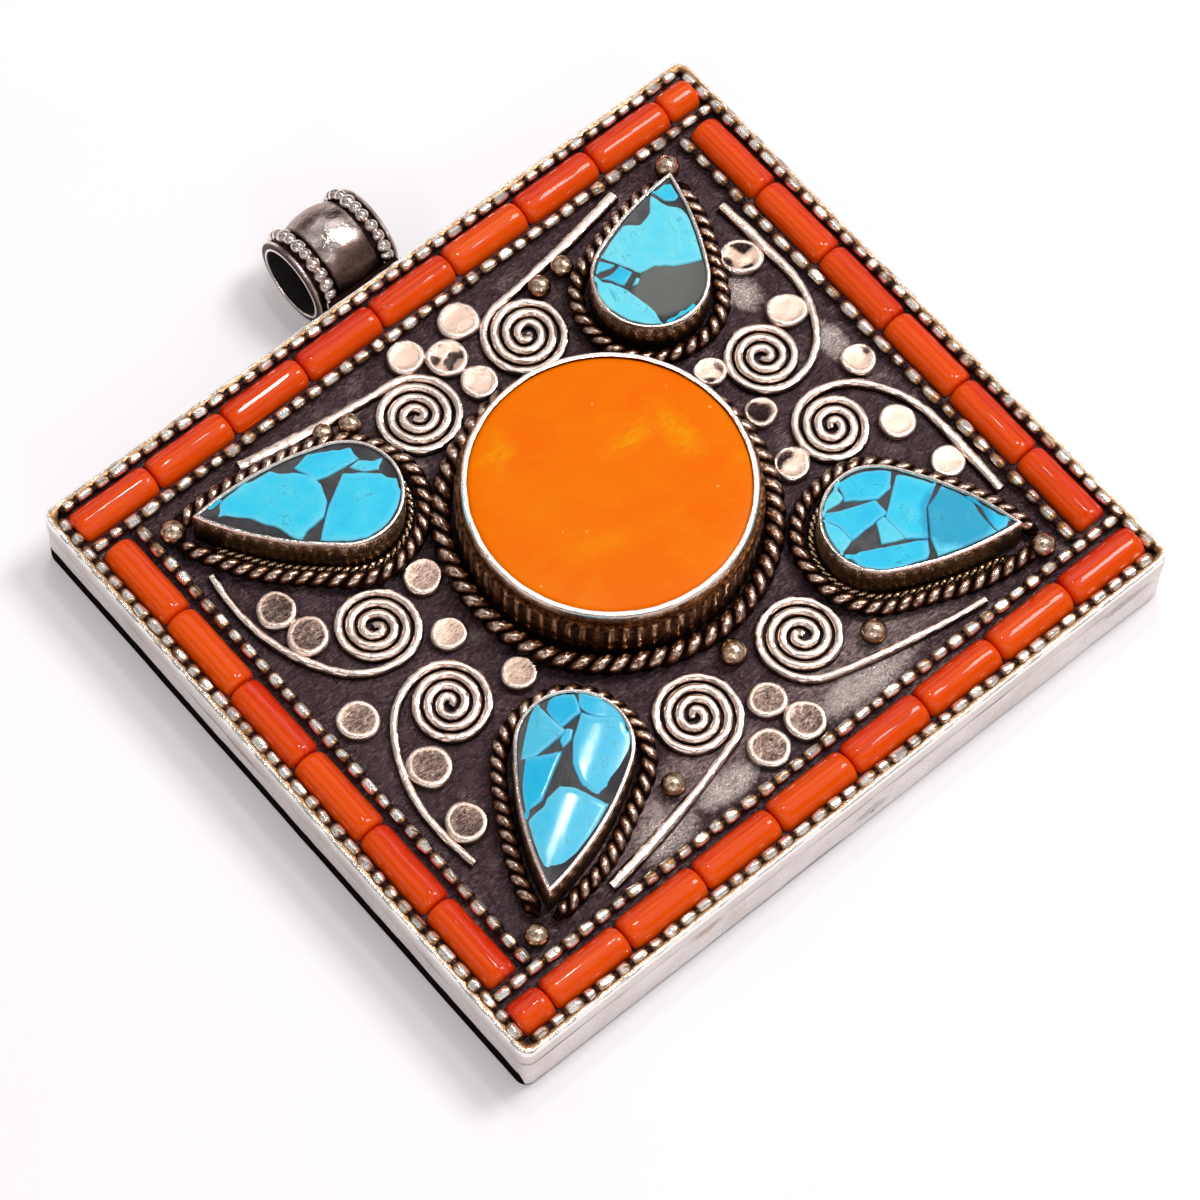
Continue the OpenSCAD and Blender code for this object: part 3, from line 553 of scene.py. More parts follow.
def make_ground_look():
    s = Shade("ground", "silver_ground", Metallic=0.85)
    rubbed = s.noise(5.5, 2)
    scratch = s.noise(0.5, 3, 0.65, (1, 3.2, 1, 35))
    pits = s.noise(0.22, 4, 0.7)
    # Bright grainy patches between the wires and the beads, smoother and less bumpy than the ground round
    # them
    places = [((8.5, -25.3), (6.5, 1.9)), ((-7.5, -25.2), (3.6, 1.6)), ((-14.5, -25.2), (3.4, 2.2)),
              ((25.7, 11), (1.8, 2.2)), ((28.7, 2), (1.5, 3)), ((-12.5, 24.3), (5, 1.1))]
    patches = s.either(*[s.spot((*middle, CASE_H), (*radii, 3)) for middle, radii in places])
    speckle = s.rise(s.noise(0.3, 4, 0.7, (1, 2.4, 1, -30)), 0.44, 0.52)
    grainy = s.times(patches, s.either(speckle, 0.4))
    fac = s.add(s.wear_and_sheen, s.swing(scratch, 1.5))
    fac = s.add(fac, grainy, True)
    base = s.ramp(fac, (0.12, (104, 82, 88)), (0.42, (160, 134, 134)), (0.8, (240, 212, 206)))
    base = s.mix(s.rise(rubbed, 0.4, 0.7, 0.35), base, (96, 66, 70))
    crease = s.line(s.noise(1.7, 3, 0.6, (1, 1.5, 1, 50), 1.2), 0.45, 0.5, 0.55, 0.6)
    base = s.mix(crease, base, (58, 38, 44))
    s.colour(s.mix(grainy, base, (255, 240, 232)))
    s.roughness(s.less(s.ramp(pits, (0.3, 0.3), (0.7, 0.5)), s.times(grainy, 0.15)))
    wrinkle = s.times(s.noise(1.1, 3, 0.55, (1, 1.8, 1, 50), 0.8), s.less(1.0, patches))
    s.bump((wrinkle, 0.55), (crease, -0.16), (scratch, 0.26), (pits, 0.09))


def make_sheet_looks():
    s = Shade("sheet", "silver_sheet", Metallic=1.0)
    hatch = s.noise(0.3, 3, 0.6, (7, 7, 0.8))
    brush = s.noise(0.16, 3, 0.6, (1, 1, 6))
    stain = s.noise(6, 3, 0.6)
    s.colour(s.mix(s.rise(stain, 0.42, 0.7, 0.5), (226, 218, 214), (184, 168, 158)))
    s.roughness(s.ramp(brush, (0.3, 0.26), (0.7, 0.44)))
    s.bump((hatch, 0.02), (brush, 0.014))

    s = Shade("panel", "silver_panel", Metallic=1.0)
    brush = s.noise(0.2, 3, 0.6, (0.04, 1, 1))
    stain = s.noise(7, 4, 0.65, (0.6, 1, 1), 0.5)
    slid = s.rise(s.noise(0.7, 2, 0.5, (0.03, 1, 1)), 0.62, 0.7)
    crossed = s.rise(s.noise(0.8, 2, 0.5, (0.05, 1, 1, 32), 0.1), 0.66, 0.69)
    body = s.mix(s.rise(stain, 0.4, 0.68, 0.6), (226, 219, 214), (162, 146, 136))
    body = s.mix(s.fall(brush, 0.42, 0.58, 0.4), body, (132, 118, 112))
    across = s.math("DIVIDE", s.math("ABSOLUTE", s.part_of_place("Y")), HALF_D)
    along = s.math("DIVIDE", s.math("ABSOLUTE", s.part_of_place("X")), HALF_W)
    rim = s.rise(s.add(s.either(along, across), s.swing(stain, 0.2)), 0.84, 0.97, 0.75)
    body = s.mix(rim, body, (82, 66, 60))
    scratched = s.either(slid, crossed)
    s.colour(s.mix(s.times(scratched, 0.25), body, (250, 244, 240)))
    s.roughness(s.ramp(brush, (0.3, 0.24), (0.7, 0.42)))
    s.bump((brush, 0.01), (scratched, -0.006), (s.noise(3.5, 2), 0.12))

    s = Shade("inside", "silver_inside", Metallic=1.0)
    stain = s.noise(4, 4, 0.6)
    fine = s.noise(0.25, 3)
    s.colour(s.ramp(stain, (0.35, (196, 184, 174)), (0.7, (126, 112, 104))))
    s.roughness(s.ramp(fine, (0.3, 0.32), (0.7, 0.5)))
    s.bump((fine, 0.012))


def make_case_look():
    s = Shade("case", "silver_case", Specular_IOR_Level=0.0)
    hatch = s.noise(0.34, 4, 0.65, (5, 5, 0.9))
    brush = s.noise(0.16, 3, 0.6, (1, 1, 6))
    cross = s.noise(0.5, 3, 0.6, (0.7, 4, 4))
    stain = s.noise(6, 3, 0.6)
    body = s.mix(s.rise(stain, 0.42, 0.7, 0.5), (236, 230, 226), (196, 182, 172))
    body = s.mix(s.rise(hatch, 0.52, 0.64, 0.5), body, (150, 138, 132))
    solder = s.either(s.spot((-17, -HALF_D, 4.9), (2.2, 1, 1.3)), s.spot((-HALF_W, 5, 5.1), (1, 3.4, 0.9)),
                      s.spot((-HALF_W, -HALF_D, 4), (0.5, 0.5, 6), 0.6, 0.3))
    body = s.mix(s.times(solder, 0.7), body, (168, 132, 104))
    rough_patch = s.spot((32.5, -HALF_D, 4.6), (3.4, 1, 0.8), 0.4, 0.9, 0.5)
    eye = s.spot((2.3, -HALF_D, 2.6), (2.1, 1, 0.9), 0.35, 0.25)
    pupil = s.spot((2.4, -HALF_D, 1.9), (0.3, 0.6, 0.25), 0.5, 0.1)
    # Painted shade along the foot of the walls, where they meet the floor, which reaches 2 mm higher on the
    # left one
    low = s.part_of_place("Z")
    left = s.fall(s.part_of_place("X"), 0.0, 0.001)
    side = s.fall(s.add(s.part_of_place("X"), HALF_W), 0.1, 0.4)
    line = s.less(low, s.add(s.times(left, 0.2), s.times(side, 2.0)))
    foot_shade = s.fall(s.add(line, s.swing(s.noise(2.5, 4), 0.5)), 0.42, 0.62)
    # The shade of the seam under the face's turned-down edge
    seam = s.rise(s.less(low, CASE_H - FACE_EDGE_H - 0.5), 0.34, 0.42, 0.9)
    # Real marks on the wall, with the painted shade of its foot and of the seam
    grime_and_shade = s.either(s.times(rough_patch, 0.4), s.times(eye, 0.35), pupil, foot_shade, seam)
    s.colour(s.mix(grime_and_shade, body, (24, 17, 19)))
    s.put(s.surface.inputs["Metallic"], s.less(1.0, foot_shade))
    s.roughness(s.ramp(brush, (0.3, 0.24), (0.7, 0.42)))
    s.bump((hatch, 0.03), (brush, 0.014), (cross, 0.02), (eye, 0.12))


def make_stone_looks():
    s = Shade("coral", "coral", Roughness=0.3, Coat_Weight=0.55, Coat_Roughness=0.025,
              Specular_IOR_Level=0.04)
    grain = s.noise(1.6, 4, 0.6, distortion=0.6)
    fac = s.add(s.times(grain, 0.55), s.times(s.tone, 0.5), True)
    body = s.ramp(fac, (0.2, (224, 46, 6)), (0.5, (236, 60, 6)), (0.85, (246, 84, 2)))
    body = s.mix(s.rise(s.noise(3.4, 2), 0.42, 0.75, 0.4), body, (210, 38, 10))
    # A coral's wear value runs from 0 to 1 round its upper half; along it are painted a lighter lit side, a
    # painted highlight line and a painted shaded side
    bent = s.add(s.wear_and_sheen, s.swing(s.noise(3.0, 2), 0.14))
    bent = s.add(bent, s.swing(s.tone, 0.16))
    body = s.mix(s.rise(bent, 0.4, 0.5, 0.55), body, (250, 92, 0))
    body = s.mix(s.fall(bent, 0.1, 0.3, 0.5), body, (196, 34, 16))
    body = s.mix(s.line(bent, 0.3, 0.36, 0.42, 0.22), body, (255, 130, 96))
    streak = s.stripes(5.0)
    body = s.mix(s.rise(streak, 0.56, 0.68, 0.35), body, (255, 110, 40))
    s.colour(s.mix(s.fall(streak, 0.3, 0.42, 0.5), body, (196, 34, 8)))
    s.bump((grain, 0.02), (s.rise(s.cells(0.9), 0.03, 0.1), 0.008))

    s = Shade("amber", "amber", Roughness=0.3, Specular_IOR_Level=0.05)
    cloud = s.noise(7, 3, 0.5, distortion=0.8)
    veil = s.noise(2.2, 4, 0.6, (1, 2, 1, 30), 1.2)
    base = s.ramp(cloud, (0.4, (255, 116, 0)), (0.6, (255, 126, 0)), (0.8, (255, 146, 0)))
    base = s.mix(s.rise(veil, 0.55, 0.8, 0.5), base, (255, 150, 4))
    top = CASE_H + AMBER_H
    yellow = s.either(s.spot((9.2, 1.5, top), (1.6, 4.4, 3), 0.8, 0.7, 2.2),
                      s.spot((5.5, 3.6, top), (3.6, 1.6, 3), 0.8, 0.7, 1.6),
                      s.spot((-5.0, 9.5, top), (3.0, 1.4, 3), 0.9, 0.6, 1.8))
    wisps = s.ramp(s.noise(1.4, 5, 0.6, (1, 2.6, 1, 60), 1.0), (0.4, 0.15), (0.66, 1.0))
    base = s.mix(s.times(s.times(yellow, wisps), 0.6), base, (255, 186, 8))
    fleck = s.fall(s.cells(3.1), 0.03, 0.06)
    s.colour(s.mix(s.times(fleck, 0.6), base, (255, 190, 90)))
    s.bump((veil, 0.01), (fleck, 0.01))

    turquoise("turquoise", 0.0)
    turquoise("turquoise_polished", 0.8)

    s = Shade("resin", "dark_resin")
    grit = s.noise(0.25, 4, 0.7)
    body = s.mix(s.rise(s.noise(1.8, 3), 0.45, 0.7, 0.7), (40, 38, 44), (84, 82, 86))
    green = s.spot((19.6, 14.2, CASE_H + DROP_H), (4.0, 3.0, 3), 0.12, 0.15, 2)
    s.colour(s.mix(s.times(green, 0.85), body, (104, 108, 102)))
    s.roughness(s.ramp(grit, (0.3, 0.3), (0.7, 0.6)))
    s.bump((grit, 0.03))


def make_packet_looks():
    s = Shade("paper", "paper", Roughness=0.85)
    fibre = s.noise(0.5, 5, 0.7, (1, 4, 1, 20))
    sheet = s.ramp(fibre, (0.3, (196, 170, 122)), (0.7, (222, 202, 158)))
    s.colour(s.mix(s.rise(s.noise(9, 3), 0.35, 0.75, 0.8), sheet, (164, 128, 82)))
    s.bump((fibre, 0.06), (s.noise(3), 0.1))

    s = Shade("thread", "red_thread", Roughness=0.8, Sheen_Weight=0.4)
    fuzz = s.noise(0.12, 3)
    s.colour(s.ramp(fuzz, (0.3, (110, 16, 18)), (0.7, (168, 34, 30))))
    s.bump((fuzz, 0.03))


make_ornament_looks()
make_ground_look()
make_sheet_looks()
make_case_look()
make_stone_looks()
make_packet_looks()

# Box


def rounded(x, y, half_x, half_y, r):
    """Moves points of a rectangle's corners so that the corners are round."""
    a = (np.abs(x) - (half_x - r)) / r
    b = (np.abs(y) - (half_y - r)) / r
    inside = (a > 0) & (b > 0)
    ax = np.where(inside, a * np.sqrt(np.maximum(1 - b * b / 2, 0)), a)
    by = np.where(inside, b * np.sqrt(np.maximum(1 - a * a / 2, 0)), b)
    return (np.sign(x) * (half_x - r + ax * r) * (np.abs(x) > 1e-9),
            np.sign(y) * (half_y - r + by * r) * (np.abs(y) > 1e-9))


def build_face():
    """The face plate: a hammered, blackened top that turns down into a bright edge."""
    spacing = 0.3
    edge_round = 0.35
    nx = int(2 * HALF_W / spacing) + 1
    ny = int(2 * HALF_D / spacing) + 1
    top_x = HALF_W - edge_round
    top_y = HALF_D - edge_round
    gx, gy = np.meshgrid(np.linspace(-top_x, top_x, nx), np.linspace(-top_y, top_y, ny), indexing="ij")
    x, y = rounded(gx, gy, top_x, top_y, CORNER_R - edge_round)
    points = level(x, y, CASE_H)
    bumps = rough(points, 1.1, 0.07, 3) + rough(points, 0.45, 0.05, 4) + rough(points, 4.5, 0.06, 5)
    far = np.minimum(top_x - np.abs(gx), top_y - np.abs(gy))
    points[..., 2] += (bumps - 0.05) * smooth_step(far, 0.2, 0.8)
    wear_and_sheen = 0.12 + 0.3 * smooth_step(rough(points, 3.2, 1, 9), 0.15, 0.6)
    # A brighter band along the bottom row of beads, and the rubbed rim
    band = smooth_step(y, -27, -23.5) * smooth_step(-y, 19, 21.5)
    band = band * smooth_step(14 - np.abs(np.abs(x) - 14), 0, 4)
    wear_and_sheen = wear_and_sheen + 0.45 * band + 0.6 * smooth_step(-far, -0.5, 0)

    # How far out and up each row of points round the edge is, and how rubbed
    edge = [(0.13, -0.03, 0.9), (0.26, -0.12, 0.95), (0.35, -0.3, 0.9), (0.35, -0.8, 0.8), (0.35, -1.4, 0.8),
            (0.35, -1.85, 0.8), (0.27, -1.97, 0.4), (0.2, -2.0, 0.1), (-0.2, -2.0, 0.1), (-0.25, -1.9, 0.1),
            (-0.25, -0.7, 0.1), (-0.6, -0.6, 0.1)]
    faces, border = grid(nx, ny)
    faces = faces.tolist()
    top_faces = len(faces)
    unit_x = gx.reshape(-1)[border] / top_x
    unit_y = gy.reshape(-1)[border] / top_y
    n = nx * ny
    m = len(border)
    rows = []
    ring = border
    for k, (grow, height, _) in enumerate(edge):
        hx = top_x + grow
        hy = top_y + grow
        rx, ry = rounded(unit_x * hx, unit_y * hy, hx, hy, CORNER_R - edge_round + grow)
        rows.append(level(rx, ry, CASE_H + height))
        new = list(range(n + k * m, n + k * m + m))
        faces += [[ring[j], ring[(j + 1) % m], new[(j + 1) % m], new[j]] for j in range(m)]
        ring = new
    faces.append(ring)
    rows = np.array(rows)
    rows[2:6, :, 2] += rough(rows[2:6] * [1, 1, 0], 5, 0.05, 12)
    form = Form()
    form.add(np.vstack([points.reshape(-1, 3), rows.reshape(-1, 3)]), faces,
             np.concatenate([np.clip(wear_and_sheen, 0, 1).ravel(), np.repeat([w for _, _, w in edge], m)]))
    piece = form.make("face_plate", "ground")
    piece.data.materials.append(mats["sheet"])
    for face in piece.data.polygons:
        if face.index >= top_faces:
            face.material_index = 1


def outward(x, y):
    """The way out of the case at a place in its wall, and how far inside the wall's outer skin that is."""
    from_x = abs(x) - (HALF_W - CORNER_R)
    from_y = abs(y) - (HALF_D - CORNER_R)
    if from_x > 0 and from_y > 0:
        way = Vector((math.copysign(from_x, x), math.copysign(from_y, y), 0))
        return way.normalized(), CORNER_R - math.hypot(from_x, from_y)
    if from_x > from_y:
        return Vector((math.copysign(1, x), 0, 0)), CORNER_R - from_x
    return Vector((0, math.copysign(1, y), 0)), CORNER_R - from_y


def settle_walls(bm):
    """Rolls the walls' lower edge in and gives their outer skin shallow dents."""
    for v in bm.verts:
        way, inside = outward(v.co.x, v.co.y)
        if inside > 0.2:
            continue
        roll = 0.38 * max(1 - v.co.z / 0.75, 0) ** 2
        dent = 0.05 + 0.06 * noise.noise(v.co / 6) + 0.03 * noise.noise(v.co / 1.6)
        v.co -= way * (roll + max(dent, 0) * min(v.co.z, 1))


build_face()
bevelled("case_band", "case", 0.12, wear_and_sheen=0.8, move=settle_walls)
bevelled("slide_rails", "sheet", 0.1)
bevelled("panel_ledge", "inside", 0.1)
bevelled("back_panel", "panel", 0.1, body="sliding_back")

# Beaded wires


def beads(form, start, end, across, d, pitch=BEAD_PITCH, neck_share=0.6, boxy=2.3):
    """A beaded wire of diameter d from start to end, its beads close together and worn to facets."""
    start, end, across = np.array([start, end, across], float)
    length = np.linalg.norm(end - start)
    along = (end - start) / length
    count = int(round(length / pitch))
    cuts = np.linspace(0, length, count + 1)
    cuts[1:-1] += [rng.uniform(-0.12, 0.12) for _ in range(count - 1)]
    cuts[1:-1] += [uneven.uniform(-0.16, 0.16) for _ in range(count - 1)]
    sides = 16
    turn = turns(sides) + TAU / (2 * sides)
    steps = np.array([-1, -0.96, -0.84, -0.62, -0.3, 0.3, 0.62, 0.84, 0.96, 1])
    shares = np.concatenate([[0], 0.5 + 0.42 * steps])
    neck = neck_share * d / 2
    rows = []
    wear_and_sheen = []
    for k in range(count):
        wide = rng.uniform(0.95, 1.06)
        tall = rng.uniform(0.94, 1.03)
        lean = rng.uniform(-0.05, 0.05)
        rub = rng.uniform(-0.2, 0.15)
        cut_turns = [rng.uniform(*ends) for ends in ((0.9, 1.4), (1.7, 2.3), (0.2, 0.7), (2.5, 3.0))]
        cut_depths = [rng.uniform(0.8, 0.93) for _ in cut_turns]
        slope = rng.uniform(-0.25, 0.25) + uneven.uniform(-0.5, 0.5)
        cut_turns = [turned + uneven.uniform(-0.35, 0.35) for turned in cut_turns]
        power = boxy + uneven.uniform(-0.35, 0.5)
        full = uneven.uniform(0.84, 1.06)
        swell = np.concatenate([[0], np.maximum(1 - np.abs(steps) ** power, 0) ** (1 / power)])
        for share, bulge in zip(shares, swell):
            r = neck + (d / 2 * full - neck) * bulge
            reach = np.full(sides, r)
            for cut_turn, depth in zip(cut_turns, cut_depths):
                facing = np.cos(turn - cut_turn)
                limit = d / 2 * full * depth * (1 + slope * (share - 0.5))
                reach = np.where(facing > 0.2, np.minimum(reach, limit / np.maximum(facing, 0.2)), reach)
            y = np.cos(turn) * reach * wide
            z = np.sin(turn) * reach * tall
            centre = start + along * (cuts[k] + share * (cuts[k + 1] - cuts[k]))
            rows.append(centre + (y + lean)[:, None] * across + level(0, 0, z + d / 2))
            near_middle = 1 - smooth_step(abs(share - 0.5), 0.14, 0.36)
            rubbed = 0.46 + 0.6 * near_middle * (reach < 0.97 * r) * (np.sin(turn) > 0.45)
            wear_and_sheen.append(smooth_step(np.sin(turn), -0.15, 0.7) * bulge * rubbed + rub * (np.sin(turn) > 0.3))
    rows = np.array(rows)
    rows += rough(rows, 0.5, 0.04, 2)[..., None] * np.array([0, 0, 1])
    form.loft(rows, np.clip(wear_and_sheen, 0, 1))


def round_box(half_x, half_y, r, steps):
    """Flat points of a rectangle with round corners, each corner in so many steps."""
    points = []
    for sx, sy, first in ((1, 1, 0), (-1, 1, 1), (-1, -1, 2), (1, -1, 3)):
        for k in range(steps + 1):
            a = (first + k / steps) * TAU / 4
            points.append((sx * (half_x - r) + r * math.cos(a), sy * (half_y - r) + r * math.sin(a)))
    return np.array(points)


def bead_pieces():
    x_axis = (1, 0, 0)
    y_axis = (0, 1, 0)
    rim = 0.46
    corner = 0.55
    d = 1.15
    at_x = HALF_W - rim - d / 2 + 0.04
    at_y = HALF_D - rim - d / 2 + 0.04
    end_x = at_x - corner
    end_y = at_y - corner
    outer = Form()
    for side in (-1, 1):
        beads(outer, (-end_x, side * at_y, CASE_H), (end_x, side * at_y, CASE_H), y_axis, d)
        beads(outer, (side * at_x, -end_y, CASE_H), (side * at_x, end_y, CASE_H), x_axis, d)
    # The solder that joins the outer beads to the rim, standing as a low uneven ledge
    path = level(*round_box(HALF_W - rim / 2, HALF_D - rim / 2, CORNER_R - rim / 2, 8).T, CASE_H)
    path = resample(path, 0.5, True)[0]
    section = [(rim / 2, -0.1), (rim / 2, 0.3), (rim * 0.42, 0.55), (rim * 0.15, 0.68), (-rim * 0.4, 0.7),
               (-rim * 1.1, 0.62), (-rim * 1.7, 0.42), (-rim * 1.9, -0.02)]
    wear_and_sheen = [0.8, 0.85, 0.9, 0.75, 0.45, 0.3, 0.1, 0.05]
    sweep(outer, path, True, section, wear_and_sheen, 1 + rough(path, 0.8, 0.14, 21))
    points = outer.points[-1]
    points[:, 2] += rough(points, 0.7, 0.07, 5) * (points[:, 2] > CASE_H + 0.2)
    inside = np.array([HALF_W, HALF_D]) - 0.001
    points[:, :2] = np.clip(points[:, :2], -inside, inside)
    outer.make("outer_beading", "bead")

    d = 1.24
    row_x = HALF_W - BEAD_D - 0.03
    row_y = FIELD[1] - 0.03
    for node, side in (("top_beading", 1), ("bottom_beading", -1)):
        form = Form()
        beads(form, (-row_x, side * INNER_BEAD_Y, CASE_H), (row_x, side * INNER_BEAD_Y, CASE_H), y_axis, d)
        form.make(node, "bead")
    for node, side, style in (("left_beading", -1, ()), ("right_beading", 1, (RIGHT_BEAD_PITCH, 0.5, 2.0))):
        form = Form()
        ends = [(side * INNER_BEAD_X, s * row_y, CASE_H) for s in (-1, 1)]
        beads(form, *ends, x_axis, d, *style)
        form.make(node, "bead")


bead_pieces()

# Corals


def corals(node, along):
    """One polished tube for each solid of the row, its lower half sunk out of sight in the channel."""
    form = Form()
    sides = 28
    turn = np.linspace(0, math.pi, sides)
    inset = np.array([0.0, 0.05, 0.16, 0.34, 0.6, 1.0])
    grow = [0.66, 0.78, 0.88, 0.955, 0.99, 1.0]
    for low, high in loose_parts(node):
        length = high[along] - low[along]
        centre = (low + high) / 2
        r = CORAL_W / 2 * rng.uniform(0.95, 1.0)
        squash = rng.uniform(0.94, 1.0)
        lean = [rng.uniform(-0.06, 0.06) for _ in range(2)]
        rise = rng.uniform(-0.08, 0.08)
        # One coral of the top row is ground flat and slopes, so that it mirrors a lamp
        polished = node == "coral_top_row" and abs(low[0] + 19) < 3
        if polished:
            rise = 0.25
        facet = rng.uniform(0, TAU)
        margin, count = (1.4, 7) if length > 4 else (1.2, 3)
        middle = np.linspace(margin, length - margin, count)
        along_all = np.concatenate([inset, middle, length - inset[::-1]])
        grow_all = np.concatenate([grow, 1 + 0.012 * np.sin(middle * 1.1 + facet), grow[::-1]])
        rows = []
        for s, g in zip(along_all, grow_all):
            share = s / length
            bend = (lean[0] * (1 - share) + lean[1] * share) * 0.7
            ring_r = r * g * np.ones(sides)
            if polished:
                ring_r = np.minimum(ring_r, 0.98 * r * g / np.maximum(np.cos(turn - 1.698), 0.5))
            z = np.sin(turn) * ring_r * squash * (1 + 0.012 * (not polished) * np.sin(3 * turn + facet))
            base_y = np.linspace(-1, 1, 5)[1:-1] * r * g * 0.9
            y = np.concatenate([np.cos(turn) * ring_r, base_y]) + bend
            z = np.concatenate([z, np.zeros(3)])
            z = z + (z > 0.5) * (rise * (share - 0.5) - 0.4 * abs(rise))
            ring = level(low[along] + s, y + centre[1 - along], z + CASE_H)
            rows.append(ring if along == 0 else ring[:, [1, 0, 2]])
        rows = np.array(rows)
        rows[..., 2] += rough(rows, 1.5, 0.02, 6) * (rows[..., 2] > CASE_H + 0.2)
        # A coral's wear value is its place round the tube, by which its look paints light and shade
        form.loft(rows, np.concatenate([turn / math.pi, [1, 0.5, 0]]), rng.random())
    form.make(node, "coral", sharp=50)


corals("coral_top_row", 0)
corals("coral_bottom_row", 0)
corals("coral_left_row", 1)
corals("coral_right_row", 1)

# Amber and its setting


def amber_pieces():
    cx, cy = AMBER_CENTRE
    base = (cx, cy, CASE_H)
    form = Form()
    r = AMBER_R
    top = AMBER_H - 0.24
    profile = [(0.0, top - 4.5), (r - 0.3, top - 4.5), (r, top - 4.2), (r, top - 0.5), (r - 0.08, top - 0.24),
               (r - 0.3, top - 0.07), (r - 0.7, top), (r * 0.8, top + 0.05), (r * 0.5, top + 0.09),
               (r * 0.2, top + 0.11), (0.0, top + 0.11)]
    lathe(form, profile, base, closed=False)
    form.make("amber_stone", "amber", sharp=60)

    form = Form()
    r = AMBER_R + 0.03
    out = r + 0.4
    top = AMBER_H
    profile = [(r, 0.05), (out, 0.05), (out, 3.0), (out, top - 0.9), (out - 0.02, top - 0.45),
               (out - 0.1, top - 0.16), (out - 0.24, top - 0.02), (AMBER_R + 0.02, top),
               (AMBER_R - 0.16, top - 0.03), (AMBER_R - 0.18, top - 0.1), (r - 0.02, top - 0.3),
               (r, top - 0.6)]
    wear_and_sheen = [0.1, 0.1, 0.3, 0.45, 0.6, 0.85, 1, 1, 0.9, 0.4, 0.1, 0.1]
    lathe(form, profile, base, wear_and_sheen, sides=240, wobble=0.05, seed=3)
    form.make("amber_bezel", "bezel")

    form = Form()
    ribs = 68
    per_rib = 8
    inner = AMBER_R + 0.46
    turn = turns(ribs * per_rib)
    rib = np.tile(0.5 - 0.5 * np.cos(turns(per_rib)), ribs) ** 0.7
    jitter = np.repeat([rng.uniform(0.75, 1.0) for _ in range(ribs)], per_rib)
    heights = [0.05, 0.6, 1.6, 2.3, 2.7, 3.1, 3.5, 4.2, 5.0, 5.45, 5.7, 5.8]
    swell = [0.75, 0.85, 0.9, 0.85, 0.55, 0.85, 0.95, 1.0, 0.9, 0.95, 0.7, 0.35]
    rings = [(h, inner + 0.2 + (0.12 + 0.2 * rib * jitter) * w) for h, w in zip(heights, swell)]
    rings += [(5.75, inner), (0.05, inner)]
    rows = [level(cx + reach * np.cos(turn), cy + reach * np.sin(turn), CASE_H + h) for h, reach in rings]
    wear_and_sheen = [0.1 + 0.85 * smooth_step(rib * jitter, 0.55, 1.0) * smooth_step(w, 0.5, 0.95) for w in swell]
    wear_and_sheen += [np.full(len(turn), 0.2)] * 2
    form.loft(rows, np.clip(wear_and_sheen, 0, 1), loop=True)
    form.make("amber_collar", "collar")

    form = Form()
    turn = np.linspace(0, TAU, 400, endpoint=False)
    r = 14.85
    d = 2.05
    path = level(cx + r * np.cos(turn), cy + r * np.sin(turn), CASE_H + d / 2)
    twisted(form, path, True, d, 3.3, plump=0.32, seed=2, sides=14)
    form.make("amber_rope", "rope")

    # The bedding stays as it is in the CAD, but in resin
    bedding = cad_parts["amber_bedding"].data
    bedding.materials.clear()
    bedding.materials.append(mats["resin"])


amber_pieces()

# Turquoise drops

# place is a share of the field. head is the size of the round end, tip how far the tip is from its middle,
# both in DROP_HEAD_R, and turn the way to the tip in degrees. fine drops have a second rope. grow is how
# much the chips are widened, hug the distance within which their edges are drawn to the bezel, and dome the
# height of their common dome. Chips with a dome over 0.5 are polished, and follow the glare instead.
DROPS = {
    "upper_left": dict(place=(-0.53, 0.607), head=1.0, tip=2.58, turn=150.5, fine=True, grow=0.2, hug=0.9,
                       dome=0.1),
    "upper_right": dict(place=(0.6, 0.592), head=1.03, tip=2.1, turn=40, fine=False, grow=0.16, hug=1.5,
                        dome=0.1),
    "lower_left": dict(place=(-0.537, -0.559), head=1.0, tip=2.65, turn=221, fine=False, grow=0.26, hug=1.8,
                       dome=0.65),
    "lower_right": dict(place=(0.587, -0.574), head=1.02, tip=2.4, turn=-41.5, fine=True, grow=0.26, hug=1.3,
                        dome=0.1),
}
# Middle and direction of the line along which the polished chips reflect the lamp
GLARE_MIDDLE = np.array([-20.0, -18.2])
GLARE_WAY = np.array([-0.853, -0.522])


def drop_axes(drop):
    """The middle of a drop's head, the way to its tip and the way across that."""
    c = math.cos(math.radians(drop["turn"]))
    s = math.sin(math.radians(drop["turn"]))
    return np.array(drop["place"]) * FIELD, np.array([c, s]), np.array([-s, c])


def drop_outline(drop, grow):
    """The drop's outline, moved outwards by grow, as in the part's source but with finer steps."""
    middle, way, apart = drop_axes(drop)
    r = DROP_HEAD_R * drop["head"]
    tip = DROP_HEAD_R * drop["tip"]
    back = DROP_SIDE_R - r
    meet = math.acos((DROP_SIDE_R ** 2 - back ** 2 - tip * tip) / (2 * back * tip))
    side = np.array([-back * math.cos(meet), -back * math.sin(meet)])
    side_r = DROP_SIDE_R + grow
    a = np.linspace(math.asin(-side[1] / side_r), meet, 24, endpoint=False)
    head = np.linspace(meet, TAU - meet, 48)
    left = np.stack([side[0] + side_r * np.cos(a), side[1] + side_r * np.sin(a)], 1)
    round_part = (r + grow) * np.stack([np.cos(head), np.sin(head)], 1)
    return np.vstack([left, round_part, left[::-1] * [1, -1]]) @ np.array([way, apart]) + middle


def drop_ring(drop, grow, z):
    """The closed outline at a height, without its doubled tip point."""
    return level(*drop_outline(drop, grow)[:-1].T, z)


